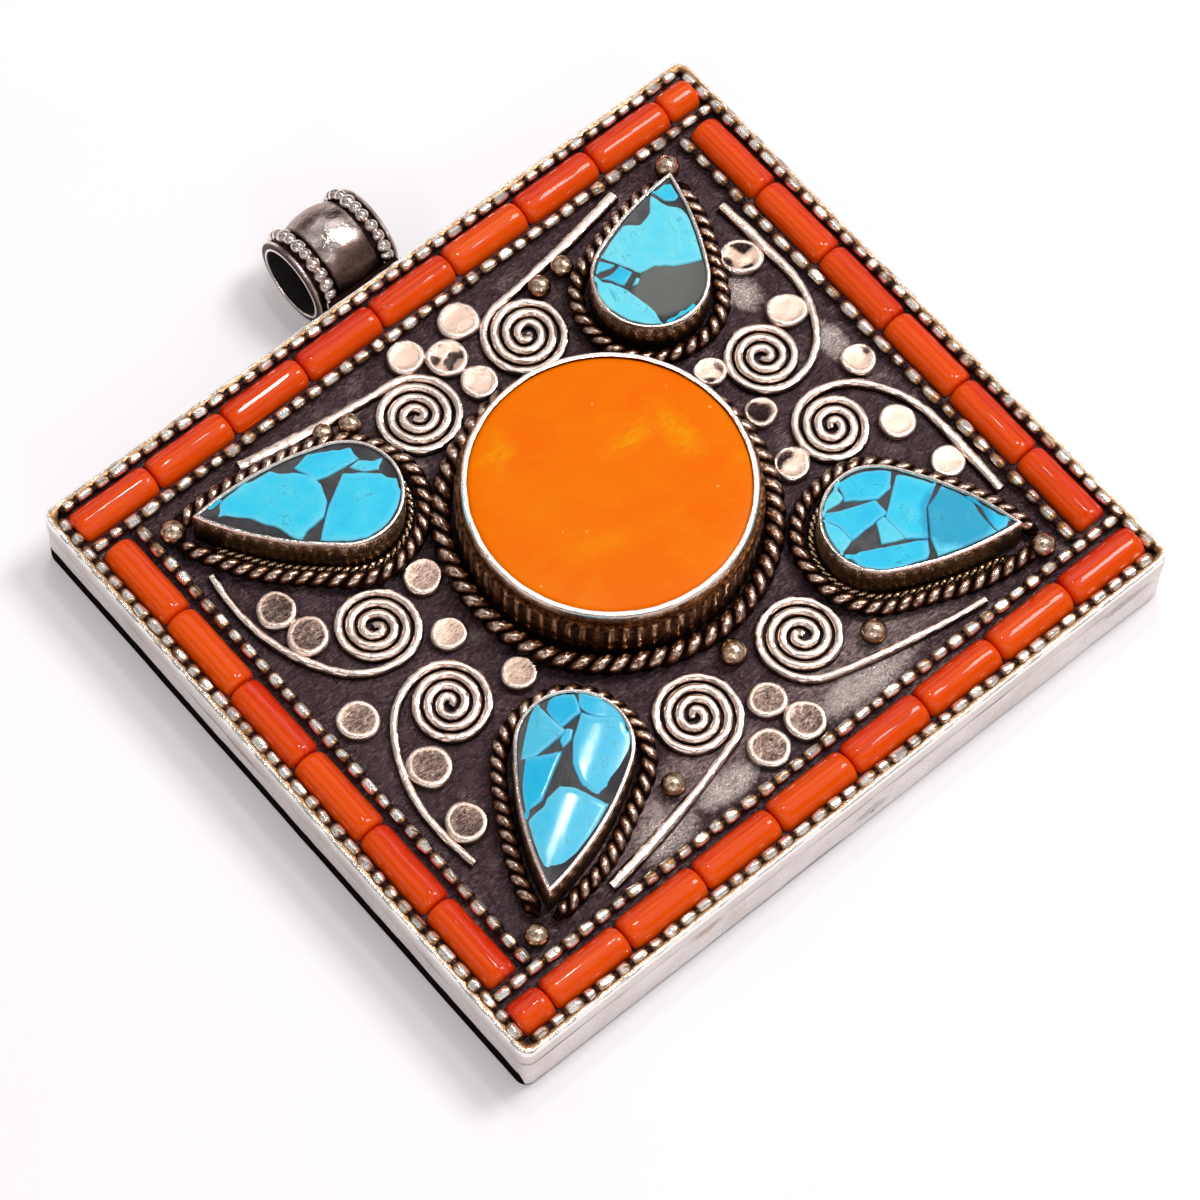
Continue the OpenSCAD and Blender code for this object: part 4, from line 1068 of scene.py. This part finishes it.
def drop_pieces(name, drop):
    middle, way, apart = drop_axes(drop)
    form = Form()
    base = CASE_H + 0.04
    top = CASE_H + DROP_H
    # How far out each ring of the bezel is, its height and how rubbed it is
    profile = [(0, base, 0.1), (0, CASE_H + 1.6, 0.25), (0, top - 1.2, 0.45), (0, top - 0.45, 0.6),
               (-0.03, top - 0.14, 0.8), (-0.12, top - 0.02, 1.0), (-0.24, top, 1.0),
               (-0.36, top - 0.06, 0.9), (-0.4, top - 0.16, 0.5), (-0.4, top - 0.5, 0.1), (-0.4, base, 0.1)]
    rows = []
    for grow, z, _ in profile:
        ring = drop_ring(drop, grow, z)
        ring[:, :2] += rough(ring, 2.2, 0.05, 4)[:, None] * 0.6
        if z > top - 1:
            ring[:, 2] += rough(ring * [1, 1, 0], 2.5, 0.05, 8)
        rows.append(ring)
    form.loft(rows, [[w] for _, _, w in profile], loop=True)
    form.make("drop_bezel_" + name, "bezel")

    form = Form()
    surface = top - 0.3
    low = surface - 0.05
    rings = [(-0.43, CASE_H + 0.05), (-0.43, surface + 0.06), (-0.6, surface), (-1.3, surface - 0.04),
             (-2.2, low), (-3.2, low)]
    rows = [drop_ring(drop, grow, z) for grow, z in rings]
    for k in (3, 4, 5):
        rows[k][:, :2] = middle + (rows[2][:, :2] - middle) * (1 - 0.3 * (k - 2))
        rows[k][:, 2] += rough(rows[k], 0.8, 0.05, 5)
    form.loft(rows)
    form.make("drop_resin_" + name, "resin")

    chips("turquoise_" + name, drop)

    form = Form()
    d = 1.7
    flat = drop_outline(drop, (0.8 if drop["fine"] else 0.3) + d / 2)[1:-1]
    flat = np.vstack([flat[:1] + way * 0.5 + apart * 0.1, flat, flat[-1:] + way * 0.5 - apart * 0.1])
    # The wire's two ends stay apart at the tip
    flat = flat[np.abs((flat - middle) @ apart) > 0.62]
    path = level(*flat.T, CASE_H + d / 2 + 0.02)
    twisted(form, path, False, d, 2.85, plump=0.32, seed=len(name), taper=1.0, sides=12)
    form.make("drop_rope_" + name, "rope")
    if drop["fine"]:
        form = Form()
        d = 0.78
        path = level(*drop_outline(drop, 0.04 + d / 2)[4:-4].T, CASE_H + d / 2 + 0.01)
        twisted(form, path, False, d, 1.5, plump=0.28, seed=3, sides=8, step=0.1, taper=0.8)
        form.make("fine_rope_" + name, "collar")


def offset(points, grow):
    """A flat outline, anticlockwise, moved outwards by grow."""
    before = points - np.roll(points, 1, 0)
    after = np.roll(points, -1, 0) - points
    n1 = np.stack([before[:, 1], -before[:, 0]], 1) / np.linalg.norm(before, axis=1)[:, None]
    n2 = np.stack([after[:, 1], -after[:, 0]], 1) / np.linalg.norm(after, axis=1)[:, None]
    way = n1 + n2
    return points + grow * way / np.maximum((way * way).sum(1) / 2, 0.6)[:, None]


def arch(flat):
    """Height of the polished chips' common surface, arched across a line and falling along it."""
    away = np.asarray(flat, float) - GLARE_MIDDLE
    along = away @ GLARE_WAY
    aside = away[..., 0] * -GLARE_WAY[1] + away[..., 1] * GLARE_WAY[0]
    return -0.048 * along + 0.0117 * aside - 0.026 * aside ** 2 - 0.0012 * along ** 2


def hug(flat, line, reach):
    """Draws those points of a chip that lie within reach of the bezel's inner line close to it."""
    to_line = line[None, :, :] - flat[:, None, :]
    far = np.linalg.norm(to_line, axis=2)
    nearest = far.argmin(1)
    far = far.min(1)
    way = to_line[np.arange(len(flat)), nearest] / np.maximum(far, 0.001)[:, None]
    pull = np.maximum(far - 0.12, 0) * (1 - smooth_step(far, 0.55 * reach, reach))
    return flat + way * pull[:, None]


def chips(node, drop):
    """The CAD chips, each with its own tone, tilt, uneven outline and broken edge."""
    dome = drop["dome"]
    polished = dome > 0.5
    bezel_line = resample(drop_outline(drop, -DROP_BEZEL_T)[:-1], 0.1, True)[0]
    source = cad_mesh(node)
    tops = [f for f in source.faces if f.normal.z > 0.9]
    tops.sort(key=lambda f: tuple(round(c, 2) for c in f.calc_center_median()))
    middle, way, _ = drop_axes(drop)
    crown = middle + way * 1.2
    # How far in from the outline each ring of the edge is, how far down, and how rubbed
    edge = [(0, -1.1, 0), (0, -0.22, 0.3), (0.03, -0.1, 0.8), (0.09, -0.03, 1.0), (0.18, 0.0, 0.7)]
    form = Form()
    for k, face in enumerate(tops):
        flat = np.array([v.co[:2] for v in face.verts])
        z = face.verts[0].co.z
        area = 0.5 * np.sum(flat[:, 0] * np.roll(flat[:, 1], -1) - flat[:, 1] * np.roll(flat[:, 0], -1))
        if area < 0:
            flat = flat[::-1]
        outline = resample(offset(flat, drop["grow"] * min(1, abs(area) / 6)), 0.22, True)[0]
        outline = hug(outline, bezel_line, drop["hug"])
        outline = outline + rough(level(*outline.T, k), 0.8, 0.07, k)[:, None]
        centre = outline.mean(0)
        tilt = np.array([rng.uniform(-0.025, 0.025), rng.uniform(-0.025, 0.025)])
        lift = rng.uniform(-0.06, 0.05)
        rows = [level(*offset(outline, -inset).T, down) for inset, down, _ in edge]
        inner = rows[-1][:, :2] - centre
        rows += [level(*(centre + inner * shrink).T, 0.0) for shrink in (0.85, 0.65, 0.42, 0.2, 0.03)]
        rows = np.array(rows)
        if polished:
            rows[..., 2] += z + 0.1 + arch(rows[..., :2]) - arch(centre)
        else:
            away = ((rows[..., :2] - crown) ** 2).sum(2)
            rows[..., 2] += z + lift + ((rows[..., :2] - centre) * tilt).sum(2) + dome * np.exp(-away / 34)
        rows[2:, :, 2] += rough(rows[2:], 0.9, 0.003 if polished else 0.02, 3)
        form.loft(rows, [[w] for _, _, w in edge] + [[0]] * 5, rng.random())
    source.free()
    form.make(node, "turquoise_polished" if polished else "turquoise", sharp=55)


for drop_name, drop_sizes in DROPS.items():
    drop_pieces(drop_name, drop_sizes)

# Scrolls

# Turns of the tails' arcs in degrees; a tail is a list of arcs of a radius and a turn
NARROW, WIDE, WIDER, NEAR_SQUARE = (math.degrees(math.asin(rise)) for rise in (0.6, 0.8, 0.96, 0.99712))
TOP_TAIL = [(3.95, NEAR_SQUARE), (-130, -7)]
LEFT_TAIL = [(6.5, WIDE), (16, NARROW), (25, 11)]
RIGHT_TAIL = [(3.7, 90), (6.3, WIDE), (11.4, NARROW), (150, 3.3)]
# Place as a share of the field, mirroring, half turns, heading, tail, and how much wider the tail's
# hammered end is
SCROLLS = {
    "scroll_top_left": ((-0.168, 0.738), (1, 1), 7, 90, TOP_TAIL, 0.5),
    "scroll_top_right": ((0.235, 0.745), (-1, 1), 7, 90, TOP_TAIL, 0.4),
    "scroll_bottom_left": ((-0.171, -0.683), (1, -1), 7, 90, [(4.2, WIDER), (110, 9)], 0.4),
    "scroll_bottom_right": ((0.21, -0.687), (-1, -1), 7, 90, [(4.7, WIDER), (100, 9)], -0.1),
    "scroll_left_upper": ((-0.697, 0.212), (1, -1), 7, 180, LEFT_TAIL, 0.0),
    "scroll_left_lower": ((-0.687, -0.133), (1, 1), 7, 180, LEFT_TAIL, 0.0),
    "scroll_right_upper": ((0.739, 0.176), (-1, -1), 6, 90, RIGHT_TAIL, 0.35),
    "scroll_right_lower": ((0.742, -0.172), (-1, 1), 6, 90, RIGHT_TAIL, 0.3),
}


def scroll_path(half_turns, heading, tail):
    """The scroll's centre line: half turns that grow by half a pitch, then the tail's arcs."""
    arcs = [(SCROLL_START_R + k * SCROLL_PITCH / 2, 180) for k in range(half_turns)] + tail
    a = math.radians(heading - 180 * half_turns)
    at = np.array([SCROLL_START_R * math.sin(a), -SCROLL_START_R * math.cos(a)])
    points = [at]
    for r, turn in arcs:
        centre = at + r * np.array([-math.sin(a), math.cos(a)])
        steps = max(int(abs(r * math.radians(turn)) / 0.25), 6)
        for k in range(1, steps + 1):
            b = a + math.radians(turn) * k / steps
            points.append(centre + r * np.array([math.sin(b), -math.cos(b)]))
        a += math.radians(turn)
        at = points[-1]
    return np.array(points)


def scroll_piece(node, place, flips, half_turns, heading, tail, wider):
    flat = scroll_path(half_turns, heading, tail) * flips + np.array(place) * FIELD
    flat, length = resample(flat, 0.2, False)
    path = level(*flat.T, CASE_H + 0.02)
    at = np.linspace(0, length, len(path))
    # A number that differs from scroll to scroll and is the same each run
    seed = sum(ord(c) * (k + 1) for k, c in enumerate(node)) % 97
    size = 0.97 + rough(level(at, 0, 0), 2.3, 0.08, seed)
    size *= 1 - 0.25 * smooth_step(-at, -0.8, 0)
    w = 0.46
    h = 0.78
    section = [(-w, 0), (w, 0), (w * 1.02, h * 0.34), (w * 0.92, h * 0.66), (w * 0.68, h * 0.9), (w * 0.3, h),
               (-w * 0.3, h), (-w * 0.68, h * 0.9), (-w * 0.92, h * 0.66), (-w * 1.02, h * 0.34)]
    wear_and_sheen = [0.0, 0.0, 0.12, 0.55, 0.95, 1.0, 1.0, 0.95, 0.55, 0.12]
    form = Form()
    sweep(form, path, False, section, wear_and_sheen, size, 1 + wider * smooth_step(at, length - 14, length - 4))
    points = form.points[0]
    points[:, 2] += rough(points, 0.6, 0.05, 4) * (points[:, 2] > CASE_H + 0.3)
    points[:, :2] += rough(points, 0.9, 0.03, 6)[:, None]
    form.make(node, "wire")


for scroll_name, sizes in SCROLLS.items():
    scroll_piece(scroll_name, *sizes)

# Granules


def disc_pieces():
    form = Form()
    sides = 40
    turn = turns(sides)
    # The way in which the oval discs are long
    long_x = 0.763
    long_y = -0.647
    profile = [(0.9, 0.0, 0.05), (0.97, 0.12, 0.1), (1.0, 0.35, 0.25), (1.0, 0.62, 0.45), (0.97, 0.82, 0.8),
               (0.91, 0.95, 1.0), (0.82, 1.0, 0.85), (0.7, 0.99, 0.7), (0.55, 0.97, 0.65), (0.4, 0.96, 0.65),
               (0.25, 0.96, 0.65), (0.1, 0.96, 0.65)]
    for k, (low, high) in enumerate(loose_parts("granule_discs")):
        cx, cy, _ = (low + high) / 2
        r = (high[0] - low[0]) / 2 * 1.12
        h = high[2] - low[2]
        oval = 1.12 if cx > 8 and cy > 6 else 1.0
        shape = 1 + 0.025 * np.sin(2 * turn + k) + 0.018 * np.sin(3 * turn + 2 * k)
        shape = shape + 0.01 * np.sin(5 * turn + 3 * k)
        shape = shape / shape.max()
        tilt = (rng.uniform(-0.03, 0.03), rng.uniform(-0.03, 0.03))
        rows = []
        for share, z, _ in profile:
            along = r * share * shape * np.cos(turn) * oval
            aside = r * share * shape * np.sin(turn)
            x = long_x * along - long_y * aside
            y = long_x * aside + long_y * along
            tilted = (x * tilt[0] + y * tilt[1]) * (z > 0.5) * 0.8
            rows.append(level(x + cx, y + cy, CASE_H + h * (z * 0.97) + tilted))
        rows = np.array(rows)
        wear_and_sheen = np.repeat([[w] for _, _, w in profile], sides, 1)
        # Discs are picked by place. The grey ones, and to a lesser degree the bright ones, are painted dimmer
        # where the real discs reflect darker surroundings, and are scratched more; the mirror ones get a
        # large dark pool, a painted reflection; the dents of other discs hold tarnish
        grey_painted_dim = (cx < -25 and cy < 14) or cy < -20
        bright = -18 < cx < -14
        dark_mirror_painted = 17 < cx < 19.5 or cx > 27.5 and cy > 12
        dents = rough(rows[7:], 0.6, 0.02, k) + rough(rows[7:], 1.4, 0.03, k + 40)
        rows[7:, :, 2] += dents - 0.03
        painted_dimming = 0.4 if grey_painted_dim else 0.2 if bright else 0.0
        wear_and_sheen[7:] += dents * 2 - painted_dimming + rng.uniform(-0.04, 0.04)
        if dark_mirror_painted or rng.random() < 0.3 and not grey_painted_dim and not bright:
            scale, start, depth = (1.6, -0.1, 0.8) if dark_mirror_painted else (1.1, 0.24, 0.5)
            dent_and_painted_reflection = smooth_step(rough(rows[7:], scale, 1, k + 80), start, 0.3)
            rows[7:, :, 2] -= 0.1 * dent_and_painted_reflection
            wear_and_sheen[7:] -= depth * dent_and_painted_reflection
        form.loft(rows, np.clip(wear_and_sheen, 0, 1), 0.9 if grey_painted_dim or bright or dark_mirror_painted else 0.1)
    form.make("granule_discs", "disc", sharp=50)


def ball(form, centre, r, squash=1.0, base=-0.995, sides=24, rings=14, seed=0):
    """A worn ball, cut off below base times its radius."""
    turn = turns(sides)
    shares = np.linspace(base, 0.995, rings)[:, None]
    ring = r * np.sqrt(1 - shares * shares)
    rows = level(ring * np.cos(turn), ring * np.sin(turn), r * shares * squash)
    shake = 1 + rough(rows, r * 1.1, 0.018, seed) - 0.01
    rubbed = 0.3 + 0.7 * smooth_step(shares, -0.3, 0.6)
    form.loft(rows * shake[..., None] + np.array(centre), rubbed, rng.random())


def ball_pieces():
    form = Form()
    for k, (low, high) in enumerate(loose_parts("granule_balls")):
        r = (high[0] - low[0]) / 2
        seat = 0.75 * r
        squash = 1.0
        x, y, _ = (low + high) / 2
        if r < 0.7:
            # The smallest ball is wider than its solid, which has to clear the wire beside it
            r, seat, squash, x, y = 0.95, 0.6, 0.9, x - 0.35, y + 0.15
        ball(form, (x, y, CASE_H + seat), r * 1.03, squash * 0.95, base=-0.7, seed=k)
    form.make("granule_balls", "ball", sharp=60)


disc_pieces()
ball_pieces()

# Hanging tube


def bail_pieces():
    centre = (0, TUBE_Y, TUBE_Z)
    half = TUBE_L / 2
    form = Form()
    # One end with its rolled rim, then the same mirrored
    profile = [(BORE_R, -half + 0.1), (BORE_R + 0.06, -half), (BORE_R + 0.22, -half),
               (BORE_R + 0.3, -half + 0.06), (4.1, -half + 0.1), (4.3, -half + 0.12), (4.4, -half + 0.25),
               (4.36, -half + 0.44), (4.2, -half + 0.54), (TUBE_R + 0.05, -half + 0.6), (TUBE_R, -half + 0.8)]
    wear_and_sheen = [0.7, 1.0, 1.0, 0.1, 0.0, 0.3, 0.8, 0.4, 0.2, 0.1, 0.1]
    profile += [(r, -h) for r, h in profile[::-1]]
    lathe(form, profile, centre, wear_and_sheen + wear_and_sheen[::-1], "x", wobble=0.04, seed=5)
    piece = form.make("bail_tube", "bail")
    # The faces inside the bore take the near-black painted shade
    piece.data.materials.append(mats["black"])
    middle = Vector((0, (TUBE_Y - ORIGIN_Y) * MM, TUBE_Z * MM))
    for face in piece.data.polygons:
        away = face.center - middle
        if math.hypot(away.y, away.z) < (BORE_R + 0.02) * MM and abs(away.x) < (half - 0.1) * MM:
            face.material_index = 1

    form = Form()
    barrel = 4.8
    barrel_r = 4.8
    end_r = TUBE_R + 0.4
    shift = 0.15
    outer = [(end_r + (barrel_r - end_r) * math.sin(math.pi * s) ** 0.8 - 0.02, barrel * (s - 0.5) + shift)
             for s in np.linspace(0, 1, 21)]
    inner_r = TUBE_R + 0.04
    profile = [(inner_r, shift - barrel / 2 + 0.02)] + outer + [(inner_r, shift + barrel / 2 - 0.02)]
    lathe(form, profile, centre, [0.1, 0.2] + [0.9] * 19 + [0.2, 0.1], "x", wobble=0.03, seed=9)
    # Painted highlight: a bright band along the barrel, with painted shade in the darker bands either side
    aside = (TUBE_Y - form.points[0][:, 1]) / barrel + rough(form.points[0], 1.6, 0.2, 11)
    lit = 0.5 + 0.5 * smooth_step(aside, -0.45, -0.05) - 0.72 * smooth_step(aside, 0.3, 0.5)
    form.wear_and_sheen[0] = form.wear_and_sheen[0] * lit
    form.make("bail_barrel", "bail", sharp=50)

    form = Form()
    count = 24
    for side in (-1, 1):
        for k in range(count):
            a = (k + 0.5 + rng.uniform(-0.12, 0.12)) * TAU / count
            size = 0.08 + rng.uniform(0.52, 0.74)
            r = 4.96 - size
            x = side * 3.3 + 0.12 + rng.uniform(-0.06, 0.06)
            place = (x, TUBE_Y + r * math.cos(a), TUBE_Z + r * math.sin(a))
            ball(form, place, size, sides=14, rings=9, seed=k)
    form.wear_and_sheen = [np.full(len(wear_and_sheen), 0.15 + rng.uniform(0.55, 0.95)) for wear_and_sheen in form.wear_and_sheen]
    form.make("bail_granules", "bail", sharp=60)
    bevelled("bail_foot", "rope", 0.25, segments=3, wear_and_sheen=0.3)


bail_pieces()

# The amulet


def packet_pieces():
    low, high = (np.array(c) / MM + [0, ORIGIN_Y, 0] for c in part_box("prayer_packet"))
    centre = (low + high) / 2
    half = (high - low) / 2
    form = Form()
    t = np.linspace(0, TAU, 160, endpoint=False)
    square_x, square_y = (np.sign(v) * np.abs(v) ** 0.09 for v in (np.cos(t), np.sin(t)))
    steps = 36
    rows = []
    for k in range(steps + 1):
        z = -half[2] + 2 * half[2] * k / steps
        crease = 0.16 * (k % 4 == 0) + 0.03 * (k % 4 == 2)
        inset = 0.1 + crease + 0.12 * abs(z) / half[2]
        x = centre[0] + square_x * (half[0] - inset)
        y = centre[1] + square_y * (half[1] - inset)
        rows.append(level(x, y, centre[2] + z))
    rows = np.array(rows)
    rows[..., :2] += rough(rows * [0.3, 0.3, 4], 1.5, 0.06, 3)[..., None]
    form.loft(rows)
    # Flaps folded over the top, each a thin sheet that ends in a slanted edge
    nx = 30
    ny = 24
    n = nx * ny
    gx, gy = np.meshgrid(np.linspace(0, 1, nx), np.linspace(-1, 1, ny), indexing="ij")
    quads, border = grid(nx, ny)
    following = border[1:] + border[:1]
    faces = quads.tolist() + (quads[:, ::-1] + n).tolist()
    faces += [[after, here, here + n, after + n] for here, after in zip(border, following)]
    for turn, reach, lift in ((0, 0.62, 0.06), (math.pi, 0.5, 0.12)):
        x = (half[0] - 0.3) * (1 - 2 * reach * gx * (1 - 0.12 * gy))
        y = gy * (half[1] - 0.4 - 1.2 * gx)
        c = math.cos(turn)
        s = math.sin(turn)
        top = level(centre[0] + c * x - s * y, centre[1] + s * x + c * y, high[2] + lift * 0.9)
        top[..., 2] += 0.5 * rough(top * [1, 1, 0], 6, 0.05, 4)
        form.add([top, top - [0, 0, 0.09]], faces)
    form.make("prayer_packet", "paper")

    form = Form()
    d = 0.38
    for axis, up in ((0, (0, 1, 0)), (1, (1, 0, 0))):
        flat = round_box(half[axis] + d / 2 + 0.02, half[2] + d / 2 + 0.02, 0.35, 5)
        loop = np.zeros((len(flat), 3))
        loop[:, [axis, 2]] = flat
        twisted(form, loop + centre, True, d, 0.9, up, plump=0.29, seed=5, sides=8, step=0.12)
    form.make("packet_thread", "thread")


packet_pieces()

# Floor, light and camera


def build_stage():
    s = Shade("floor", "floor", Roughness=0.9, Specular_IOR_Level=0.0)
    s.colour(s.ramp(s.noise(40, 2), (0.3, (248, 244, 247)), (0.7, (250, 247, 249))))
    rays = s.node("ShaderNodeLightPath").outputs
    seen = s.either(rays["Is Camera Ray"], rays["Is Glossy Ray"], rays["Is Transmission Ray"])
    glow = s.node("ShaderNodeEmission", {"Color": (1, 1, 1, 1), "Strength": s.times(seen, 0.17)})
    both = s.node("ShaderNodeAddShader", {0: s.surface.outputs[0], 1: glow.outputs[0]})
    s.put(s.tree.nodes["Material Output"].inputs["Surface"], both.outputs[0])
    floor = bpy.data.meshes.new("floor")
    reach = 3.0
    corners = [(-reach, -reach, 0), (reach, -reach, 0), (reach, reach, 0), (-reach, reach, 0)]
    floor.from_pydata(corners, [], [(0, 1, 2, 3)])
    floor.materials.append(mats["floor"])
    piece = bpy.data.objects.new("floor", floor)
    bpy.context.scene.collection.objects.link(piece)


def build_world():
    world = bpy.data.worlds.new("studio")
    bpy.context.scene.world = world
    world.use_nodes = True
    world.node_tree.nodes.clear()
    w = Nodes(world.node_tree)
    place = w.node("ShaderNodeTexCoord").outputs["Generated"]
    spots = w.node("ShaderNodeTexNoise", {"Vector": place, "Scale": 2.6, "Detail": 1}).outputs["Fac"]
    lit = w.ramp(spots, (0.44, (0.09, 0.06, 0.05, 1)), (0.54, (1.0, 0.97, 0.99, 1)))
    up = w.node("ShaderNodeSeparateXYZ", {0: place}).outputs["Z"]
    height = w.node("ShaderNodeMapRange", {"Value": up, "From Max": 0.6, "To Min": 0.2}).outputs[0]
    plain = w.node("ShaderNodeBackground", {"Color": w.mix(1, lit, height, "MULTIPLY"), "Strength": 0.88})
    white = w.node("ShaderNodeBackground", {"Color": (1, 1, 1, 1)})
    rays = w.node("ShaderNodeLightPath").outputs
    both = w.node("ShaderNodeMixShader", {0: rays["Is Camera Ray"], 1: plain.outputs[0], 2: white.outputs[0]})
    w.node("ShaderNodeOutputWorld", {"Surface": both.outputs[0]})


def area_light(name, place, width, height, power):
    """A rectangular lamp that faces the box."""
    data = bpy.data.lights.new(name, "AREA")
    data.shape = "RECTANGLE"
    data.size = width
    data.size_y = height
    data.energy = power
    lamp = bpy.data.objects.new(name, data)
    bpy.context.scene.collection.objects.link(lamp)
    lamp.location = place
    lamp.rotation_euler = (Vector((0, 0, 0.005)) - Vector(place)).to_track_quat("-Z", "Y").to_euler()


def build_camera():
    """The camera that was fitted to the four corners of the rim in the photograph."""
    data = bpy.data.cameras.new("camera")
    data.sensor_width = 36
    data.sensor_fit = "HORIZONTAL"
    data.lens = 149.588
    data.clip_start = 0.01
    data.clip_end = 20
    camera = bpy.data.objects.new("camera", data)
    bpy.context.scene.collection.objects.link(camera)
    camera.location = (-0.137693, -0.150442, 0.402478)
    camera.rotation_euler = [math.radians(a) for a in (26.08959, -1.51067, -40.31325)]
    bpy.context.scene.camera = camera


build_stage()
build_world()
area_light("panel", (0.37, 0.36, 0.6), 0.36, 0.34, 0.34)
area_light("key", (0.34, -0.06, 0.62), 0.2, 0.2, 2.0)
area_light("front", (-0.25, -0.5, 0.4), 0.06, 0.06, 0.22)
area_light("top", (0.11, 0.12, 0.6), 0.045, 0.045, 0.32)
area_light("left", (-0.48, -0.19, 0.5), 0.03, 0.03, 0.2)
build_camera()
bpy.context.scene.view_settings.view_transform = "Standard"
